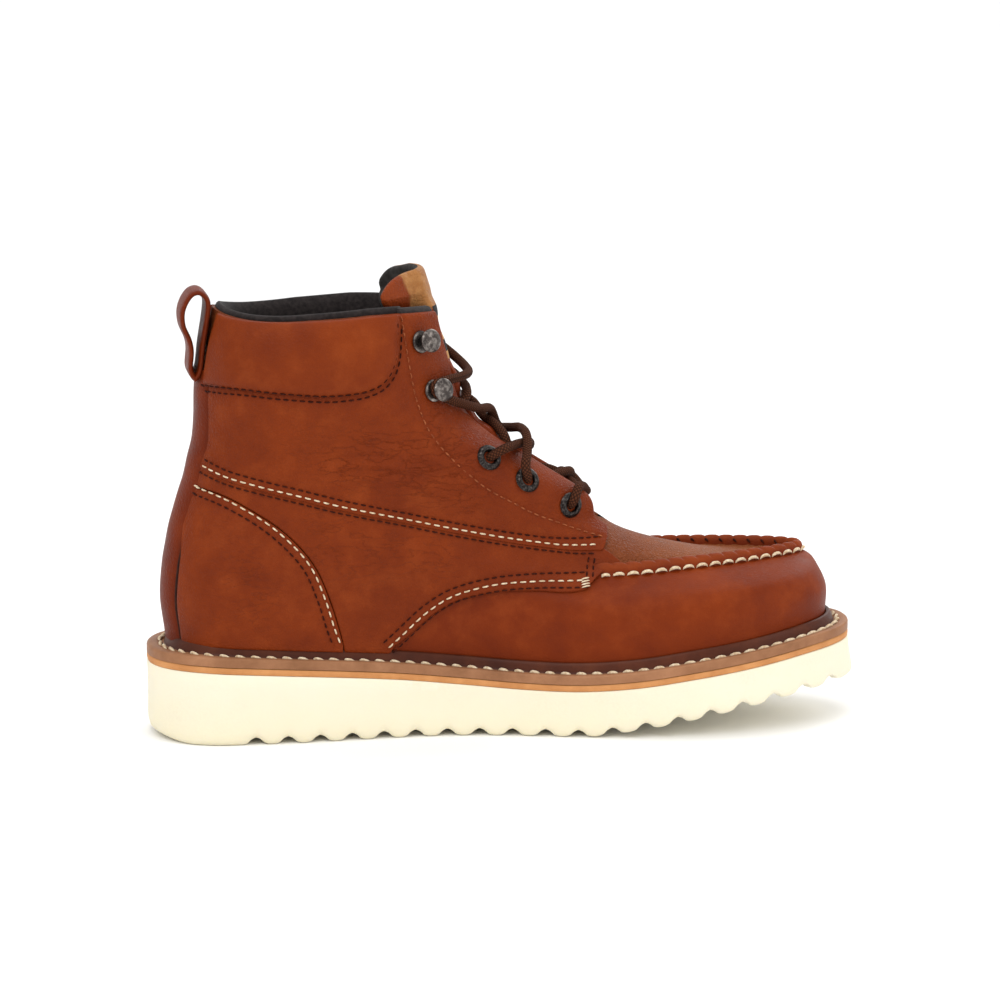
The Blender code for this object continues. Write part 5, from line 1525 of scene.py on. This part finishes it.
def make_heel_strip():
    """Rounded strip up the heel: a pipe-like crown across it, sunk edges darkened with painted
    shade, and a dark cord of painted shadow in the groove along each edge.
    """
    low = row_at_height(np.array([1.0]), WELT_RIDGE * 0.8)[0]
    high = find_back_row(LOOP_PATH[0][1] * UPPER_HEIGHT) + 0.35
    rows = np.linspace(low, high, 120)
    across = np.sin(np.linspace(-math.pi / 2, math.pi / 2, 31))
    v = np.repeat(rows[:, None], len(across), 1)
    u = 1 + across[None, :] * (STRIP_WIDTH / 2) / half_girth(rows, 1)[:, None]
    crown = np.sqrt(np.clip(1 - np.abs(across) ** 2.6, 0, 1))
    tall = 0.0004 + STRIP_THICK * crown[None, :] * np.ones_like(v)
    # Painted shade along the strip's sunk edges
    seam_shade = np.broadcast_to(np.exp(-(1 - np.abs(across)) / 0.10)[None, :], v.shape)
    strip = slab("heel_strip", over(v, u, tall), over(v, u, GAP),
                 M["strip"], marks={"seam": seam_shade, "pull_and_highlight": v * 0})
    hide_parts("backstay")
    # Dark cords of painted shadow in the grooves beside the strip
    for side, name in ((-1, "inner"), (1, "outer")):
        line_rows = np.linspace(low, high - 0.1, 150)
        line = over(line_rows, strip_turn(line_rows, side, 0.0), STRIP_EDGE_RISE)
        edge = tube("strip_shadow_line_" + name, line, STRIP_EDGE / 2, M["shade"], sides=8)


def find_back_row(height):
    """Row whose back point is at a height over the sole's top."""
    rows = np.linspace(0, len(LAST) - 1, 400)
    return float(np.interp(height, loop_sizes(rows)["back_h"], rows))


def make_pull_loop():
    """Folded strap: a closed band whose section is a flat oval, darker at its edges with painted
    shade.
    """
    path = []
    for behind, share in LOOP_PATH:
        back = loop_sizes(np.array(find_back_row(share * UPPER_HEIGHT)))["back"]
        path.append((back - behind, seat(back) + share * UPPER_HEIGHT))
    path = np.array(path)
    knots = np.arange(len(path) + 1, dtype=float)
    closed = np.concatenate([path, path[:1]])
    count, sides = 150, 28
    at = np.linspace(0, len(path), count, endpoint=False)
    line = np.column_stack([curve(knots, closed[:, 0], at), curve(knots, closed[:, 1], at)])
    along = np.roll(line, -1, 0) - np.roll(line, 1, 0)
    side = unit(np.column_stack([along[:, 1], -along[:, 0]]))
    turn = np.linspace(0, 2 * math.pi, sides, endpoint=False)
    wide = np.sign(np.cos(turn)) * np.abs(np.cos(turn)) ** 0.36 * LOOP_WIDTH / 2
    thick = np.sign(np.sin(turn)) * np.abs(np.sin(turn)) ** 0.7 * LOOP_THICK / 2
    grid = np.empty((count, sides, 3))
    grid[..., 0] = line[:, 0, None] + side[:, 0, None] * thick
    grid[..., 1] = wide
    grid[..., 2] = line[:, 1, None] + side[:, 1, None] * thick
    rings = np.concatenate([grid, grid[:1]])
    faces = grid_faces(count + 1, sides, wrap=True)
    # Painted shade along the strap's edges
    seam_shade = np.broadcast_to(0.2 * (np.abs(np.cos(turn)) > 0.9)[None, :], (count + 1, sides))
    loop = make_mesh("pull_strap", rings, faces, M["strip"],
                     marks={"seam": seam_shade, "pull_and_highlight": seam_shade * 0}, angle=70)
    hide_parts("pull_loop")


# Rows between the label's bands, its finish in each, and its half width in the tongue's
LABEL_BANDS = (13.84, 14.00, 14.22, 14.34, 14.46, 14.70, 14.90)
LABEL_FINISHES = (0, 3, 2, 3, 2, 3, 2, 0)
LABEL_HALF = 0.40


def make_tongue():
    """Padded tongue: crowned between the facings, its top rounded over, with a dark bound
    edge inside and a plain label on its front."""
    rows = np.concatenate([np.linspace(8.4, 15.0, 90), np.linspace(15.0, 15.9, 34)[1:]])
    across = np.linspace(-1, 1, 65)
    half = TONGUE_HALF * curve([8, 10, 12, 14.6, 15.3, 16], [0.72, 0.9, 1.0, 1.02, 1.34, 1.30],
                               rows)
    v = np.repeat(rows[:, None], len(across), 1)
    top = np.clip((v - 14.9) / 1.0, 0, 1)
    v = v - top ** 2 * 0.42 * np.abs(across)[None, :] ** 5
    narrow = 1 - 0.17 * (across > 0)[None, :] * np.clip((rows - 14.8) / 0.5, 0, 1)[:, None]
    u = turn_at(v, across[None, :] * half[:, None] * narrow)
    under = WALL + 0.0018 + (LINING_THICK - 0.0008) * np.clip((v - 12.6) / 0.8, 0, 1)
    rise = np.clip((v - 10.7) / 0.6, 0, 1)
    bulge = 0.0020 * np.clip((v - 11.1) / 0.5, 0, 1) * np.clip((14.1 - v) / 0.5, 0, 1)
    crown = np.clip((0.5 - np.abs(across))[None, :] / 0.14, 0, 1)
    crown = crown * crown * (3 - 2 * crown)
    outer = -under * (1 - rise * crown)
    free = np.clip((v - 15.0) / 0.3, 0, 1)
    outer = outer * (1 - 0.6 * free)
    wave = 0.0005 * np.sin(v * 9.0 + across[None, :] * 1.3) * np.clip((v - 10) / 1, 0, 1)
    outer = outer + (wave * (1 - free) + bulge) * crown
    end = np.clip((rows[-1] - rows) / 0.16, 0, 1)[:, None]
    side_end = np.clip((1 - np.abs(across)) / 0.06, 0, 1)[None, :]
    body = np.sqrt(np.clip(1 - (1 - np.minimum(end, side_end)) ** 2, 0, 1))
    thick = TONGUE_THICK * (1 - 0.4 * np.abs(across)[None, :] ** 2)
    middle = outer - thick / 2
    ground_out = over(v, u, middle + thick / 2 * (0.12 + 0.88 * body))
    ground_in = over(v, u, middle - thick / 2 * (0.12 + 0.88 * body))
    # Painted highlight on the tan front, darker along its edge; the free top lighter by pull-up and
    # a painted highlight
    front = 0.56 + 0.10 * (v - 14.95)
    front_highlight = np.clip((front - np.abs(across)[None, :]) / 0.04 + 0.5, 0, 1) * (v > 14.9)
    seam_shade = np.exp(-((np.abs(across)[None, :] - front) / 0.02) ** 2) * (v > 14.9)
    piece = slab("tongue_pad", ground_out, ground_in,
                 [M["tongue"], M["inside"], M["label_dark"], M["label_tan"]],
                 marks={"seam": seam_shade * 0.8, "pull_and_highlight": 0.25 * free, "front": front_highlight},
                 inner_finish=1)
    finish = np.zeros(len(piece.data.polygons), np.int32)
    piece.data.polygons.foreach_get("material_index", finish)
    tone = np.array(LABEL_FINISHES)[np.searchsorted(LABEL_BANDS, v[:-1, :-1])]
    label = (tone > 0) & (np.abs(across)[None, :-1] < LABEL_HALF)
    finish[:label.size] = np.where(label.ravel(), tone.ravel(), finish[:label.size])
    piece.data.polygons.foreach_set("material_index", finish)
    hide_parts("tongue")


# Felt collar in depth and row, its roll over the leather, and the rim on the facings in
# height over the skin and row
COLLAR_FORM = ((0.0, 13.3), (0.0, 13.9), (0.0, 14.5), (0.0, 14.9), (0.02, 15.03), (0.16, 15.12),
               (0.40, 15.17), (0.64, 15.15), (0.85, 15.08), (0.97, 14.96), (1.0, 14.7),
               (1.0, 14.2), (0.95, 13.8), (0.5, 13.35))
COLLAR_ROLL = 0.0012
FACING_RIM_FORM = ((0.0009, 14.80), (0.0010, 15.02), (0.0002, 15.09), (-0.0016, 15.13),
                   (-0.0032, 15.09), (-0.0037, 14.98), (-0.0037, 14.80))


def make_lining():
    """Padded felt lining round the collar: a rolled rim over the leather's edge, then down
    inside the boot."""
    t = np.linspace(-1, 1, 181)
    reach = {side: 1 - side * turn_at(15.0, side * (TONGUE_HALF + 0.003)) for side in (-1, 1)}
    turn = 1 + t * np.where(t < 0, reach[-1], reach[1])
    rings = []
    for depth, row in COLLAR_FORM:
        v = row + (collar_row(np.mod(turn + 1, 2) - 1) - 15.0) * np.clip(row - 14.0, 0, 1)
        over_edge = COLLAR_ROLL if row > ROW["collar"] else 0.0
        rings.append(over(v, turn, -(WALL + 0.0002) - depth * LINING_THICK + over_edge))
    grid = crossed(rings)
    piece = make_mesh("collar_pad", grid, capped_faces(*grid.shape[:2]), M["felt"], angle=None)
    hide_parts("collar_lining")
    for side, name in ((-1, "inner"), (1, "outer")):
        turn = np.linspace(turn_at(14.9, side * (TONGUE_HALF + 0.006)),
                           turn_at(14.9, side * (THROAT_HALF + 0.0006)), 30)
        rings = []
        for height, row in FACING_RIM_FORM:
            v = row + collar_row(turn) - 15.0
            rings.append(over(v, turn, height))
        grid = crossed(rings)
        rim = make_mesh("facing_felt_" + name, grid, capped_faces(*grid.shape[:2]), M["felt"],
                        angle=None)


# Share of the way from the edge to the middle, height over the sole
FOOTBED_FORM = ((0.0, 0.0003), (0.0, 0.0030), (0.02, 0.0042), (0.10, 0.0040), (0.35, 0.0034),
                (0.7, 0.0031), (1.0, 0.0030))


def make_footbed():
    """Footbed inside the upper: the feather edge drawn in, slightly dished."""
    u = np.linspace(-1, 1, 161)
    ring = skin(np.zeros_like(u), u)
    middle = np.column_stack([ring[:, 0] * 0.93, swing(ring[:, 0]), ring[:, 2]])
    rings = []
    for share, lift in FOOTBED_FORM:
        start = ring + (middle - ring) * 0.06
        point = start + (middle - start) * share
        point[:, 2] = seat(point[:, 0]) + GAP + lift
        rings.append(point)
    under = rings[-1].copy()
    under[:, 2] = seat(under[:, 0]) + GAP
    grid = crossed(rings + [under])
    piece = make_mesh("footbed", grid, grid_faces(*grid.shape[:2], wrap=True), M["inside"])
    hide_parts("insole")


# Eyelets, hooks and laces
def facing_point(row, side, behind):
    """Place and normal on the facing, a walked distance behind the throat's edge."""
    u = turn_at(np.array([row]), side * (THROAT_HALF + behind))
    return over([row], u, SHAFT_OUT)[0], outward([row], u)[0]


def frame_at(normal, forward):
    """Three unit vectors: forward in the plane, sideways, and the normal."""
    ahead = unit(forward - normal * forward.dot(normal))
    return ahead, np.cross(normal, ahead), normal


def lathe(profile, sides, centre, axes):
    """Ring-shaped surface: a profile of (radius, height) turned round the normal."""
    turn = np.linspace(0, 2 * math.pi, sides, endpoint=False)
    profile = np.asarray(profile)
    ring = (profile[None, :, 0, None] * (np.cos(turn)[:, None, None] * axes[0]
                                         + np.sin(turn)[:, None, None] * axes[1])
            + profile[None, :, 1, None] * axes[2]) + centre
    closed = np.concatenate([ring, ring[:1]])
    return closed.reshape(-1, 3), grid_faces(sides + 1, len(profile), wrap=True)


EYELET_FORM = ((0.00262, -0.0030), (0.00268, 0.0006), (0.0029, 0.0012), (0.0034, 0.00155),
               (0.0040, 0.00150), (0.0046, 0.00120), (0.0051, 0.00070), (0.0055, 0.0001),
               (0.0053, -0.0002), (0.0034, -0.0002), (0.0033, -0.0030))


# Radius and height of the hook's washer and head, and the head's tilt
HOOK_BASE = ((0.0001, 0.0), (0.0044, 0.0), (0.0047, 0.0003), (0.0046, 0.0008), (0.0040, 0.0011),
             (0.0026, 0.0012), (0.0001, 0.0012))
HOOK_HEAD = ((0.0001, 0.0), (0.0040, 0.0002), (0.0048, 0.0006), (0.0049, 0.0011),
             (0.0045, 0.0016), (0.0034, 0.0021), (0.0018, 0.0024), (0.0001, 0.0025))
HOOK_TILT = 0.16


def make_eyelet(name, node, centre, normal):
    """Rolled eyelet: a domed ring with radial dents, and its barrel."""
    axes = frame_at(normal, np.array((1.0, 0.2, 0.1)))
    points, faces = lathe(EYELET_FORM, 60, centre + normal * 0.0002, axes)
    points = points.reshape(61, len(EYELET_FORM), 3)
    turn = np.linspace(0, 2 * math.pi, 61)
    dent = 0.00018 * np.maximum(np.cos(turn * 9), 0) ** 3
    points[:, 4:6] -= dent[:, None, None] * normal
    piece = make_mesh(name, points, faces, M["ring"], angle=50)
    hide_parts(node)


def make_hook(name, node, centre, normal, forward):
    """Speed hook: round base washer, neck behind, and a domed round head over it, tied
    together as one closed strap that bends over at the rear."""
    ahead, side, up = frame_at(normal, forward)
    axes = (ahead, side, up)
    groups, faces, count = [], [], 0
    head_up = up * math.cos(HOOK_TILT) - ahead * math.sin(HOOK_TILT) * 0.6
    head_axes = frame_at(unit(head_up), ahead)
    for form, spot, way in ((HOOK_BASE, centre - ahead * 0.0006, axes),
                            (HOOK_HEAD, centre + up * 0.0042 + ahead * 0.0008, head_axes)):
        points, quads = lathe(form, 44, spot, way)
        faces.append(quads + count)
        groups.append(points)
        count += len(points)
    arc = np.linspace(0, 1, 16)
    neck_x = np.interp(arc, (0, 0.2, 0.5, 0.8, 1), (0.0015, 0.0030, 0.0036, 0.0030, 0.0012))
    neck_z = np.interp(arc, (0, 0.2, 0.5, 0.8, 1), (0.0006, 0.0010, 0.0026, 0.0043, 0.0050))
    turn = np.linspace(0, 2 * math.pi, 14, endpoint=False)
    ring = (centre + neck_x[:, None, None] * ahead + neck_z[:, None, None] * up
            + np.cos(turn)[None, :, None] * side * 0.0024
            + np.sin(turn)[None, :, None] * (ahead * 0.0005 + up * 0.0004))
    faces.append(grid_faces(16, 14, count, wrap=True))
    groups.append(ring.reshape(-1, 3))
    quads = [tuple(face) for block in faces for face in block]
    quads.append(tuple(count + k for k in range(14))[::-1])
    quads.append(tuple(count + 15 * 14 + k for k in range(14)))
    piece = make_mesh(name, np.concatenate(groups), quads, M["metal"], angle=45)
    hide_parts(node)


def make_fittings():
    for side, name in ((-1, "inner"), (1, "outer")):
        for number, row in enumerate(EYELET_ROWS, 1):
            centre, normal = facing_point(row, side, EYELET_SET[number - 1])
            make_eyelet("ring_%s_%d" % (name, number), "eyelet_%s_%d" % (name, number),
                        centre, normal)
        for number, row in enumerate(HOOK_ROWS, 1):
            centre, normal = facing_point(row, side, HOOK_SET)
            forward = skin(np.array([row]), turn_at(np.array([row]), side * THROAT_HALF))[0]
            make_hook("catch_%s_%d" % (name, number), "hook_%s_%d" % (name, number),
                      centre + normal * 0.0002, normal, forward - centre)


def lace_through(points, count=90):
    """Smooth lace route through waypoints (row, signed distance from the front centre,
    height over the skin)."""
    points = np.array(points)
    return smooth_path(over(points[:, 0], turn_at(points[:, 0], points[:, 1]), points[:, 2]),
                       count)


def make_laces():
    """Lace through the eyelets and hooks: a bar at the lowest pair, then a crossing at each
    step. Every strand dips into its eyelet or turns behind its hook."""
    a1, a2, a3 = (THROAT_HALF + behind for behind in EYELET_SET)
    e1, e2, e3 = EYELET_ROWS
    h1 = HOOK_ROWS[0]
    bar = [(e1, -a1, -.0034), (e1 + .02, -a1 + .0002, .0026), (9.90, -a1 + .0012, .0062),
           (10.04, -.0242, .0064), (10.14, -.0195, .0050), (10.18, -.0140, .0032),
           (10.16, -.0070, .0002)]
    mirror = lambda points: [(row, -across, height) for row, across, height in points][::-1]
    to_hook = [(12.62, -.010, .0062), (12.90, -.020, .0061), (13.12, -.0275, .0061),
               (h1 - .02, -.0316, .0059), (h1 + .10, -.0312, .0059), (h1 + .17, -.0280, .0061)]
    strands = {
        "lace_run_bar": ("lace_bar", bar + [(10.15, 0.0, -.0004)] + mirror(bar)),
        "lace_run_1a": ("lace_cross_1", [
            (e1 + .50, -.0175, -.0034), (e1 + .64, -.0110, -.0006), (e1 + .86, 0.0, -.0006),
            (e2 + .26, .0110, -.0006), (e2 + .36, .0175, -.0034)]),
        "lace_run_1b": ("", [
            (e1 + .50, .0175, -.0034), (e1 + .64, .0110, .0002), (e1 + .86, 0.0, .0028),
            (e2 + .26, -.0110, .0002), (e2 + .36, -.0175, -.0034)]),
        "lace_run_2a": ("lace_cross_2", [
            (e3, -a3, -.0034), (e3 + .02, -a3 + .0010, .0026), (e3 + .09, -a3 + .0056, .0064),
            (11.34, -.0230, .0062), (11.42, -.0110, .0050), (11.38, .0000, .0046),
            (11.15, .0100, .0050), (10.80, .0220, .0058), (10.56, a2 - .0046, .0062),
            (e2 + .02, a2 - .0008, .0026), (e2, a2, -.0034)]),
        "lace_run_2b": ("", [
            (e2, -a2, -.0034), (e2 + .03, -a2 + .0008, .0028), (10.74, -.0335, .0068),
            (11.06, -.0250, .0076), (11.38, -.0150, .0094), (11.60, -.0040, .0088),
            (11.62, .0070, .0066), (11.42, .0220, .0060), (e3 + .10, a3 - .0054, .0062),
            (e3 + .02, a3 - .0008, .0026), (e3, a3, -.0034)]),
        "lace_run_3a": ("lace_cross_3", [
            (11.40, .0168, -.0030), (11.65, .0115, .0032), (12.00, .0040, .0050),
            (12.36, -.0015, .0078)] + to_hook),
        "lace_run_3b": ("", [
            (11.40, -.0168, -.0030), (11.72, -.0120, .0034), (12.02, -.0060, .0042),
            (12.34, .0030, .0038)] + mirror(to_hook)[::-1]),
        "lace_run_4a": ("lace_cross_4", [
            (h1 + .14, -.0306, .0060), (13.52, -.0240, .0062), (13.55, -.0150, .0066),
            (13.57, -.0060, .0070), (13.63, .0030, .0068), (13.80, .0120, .0064),
            (14.05, .0210, .0061), (14.25, .0275, .0061), (14.38, .0314, .0059)]),
        "lace_run_4b": ("", [
            (h1 + .14, .0306, .0060), (13.50, .0240, .0062), (13.46, .0140, .0056),
            (13.36, .0050, .0042), (13.26, -.0045, .0044), (13.12, -.0110, .0044),
            (12.98, -.0142, .0026), (12.88, -.0155, -.0016)]),
    }
    for name, (node, points) in strands.items():
        cord = tube(name, lace_through(points), LACE / 2, M["lace"])
        if node:
            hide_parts(node)


make_sole()
make_welt()
make_vamp()
make_shell()
make_moc_seam()
make_panels()
make_heel_strip()
make_pull_loop()
make_tongue()
make_lining()
make_footbed()
make_fittings()
make_laces()
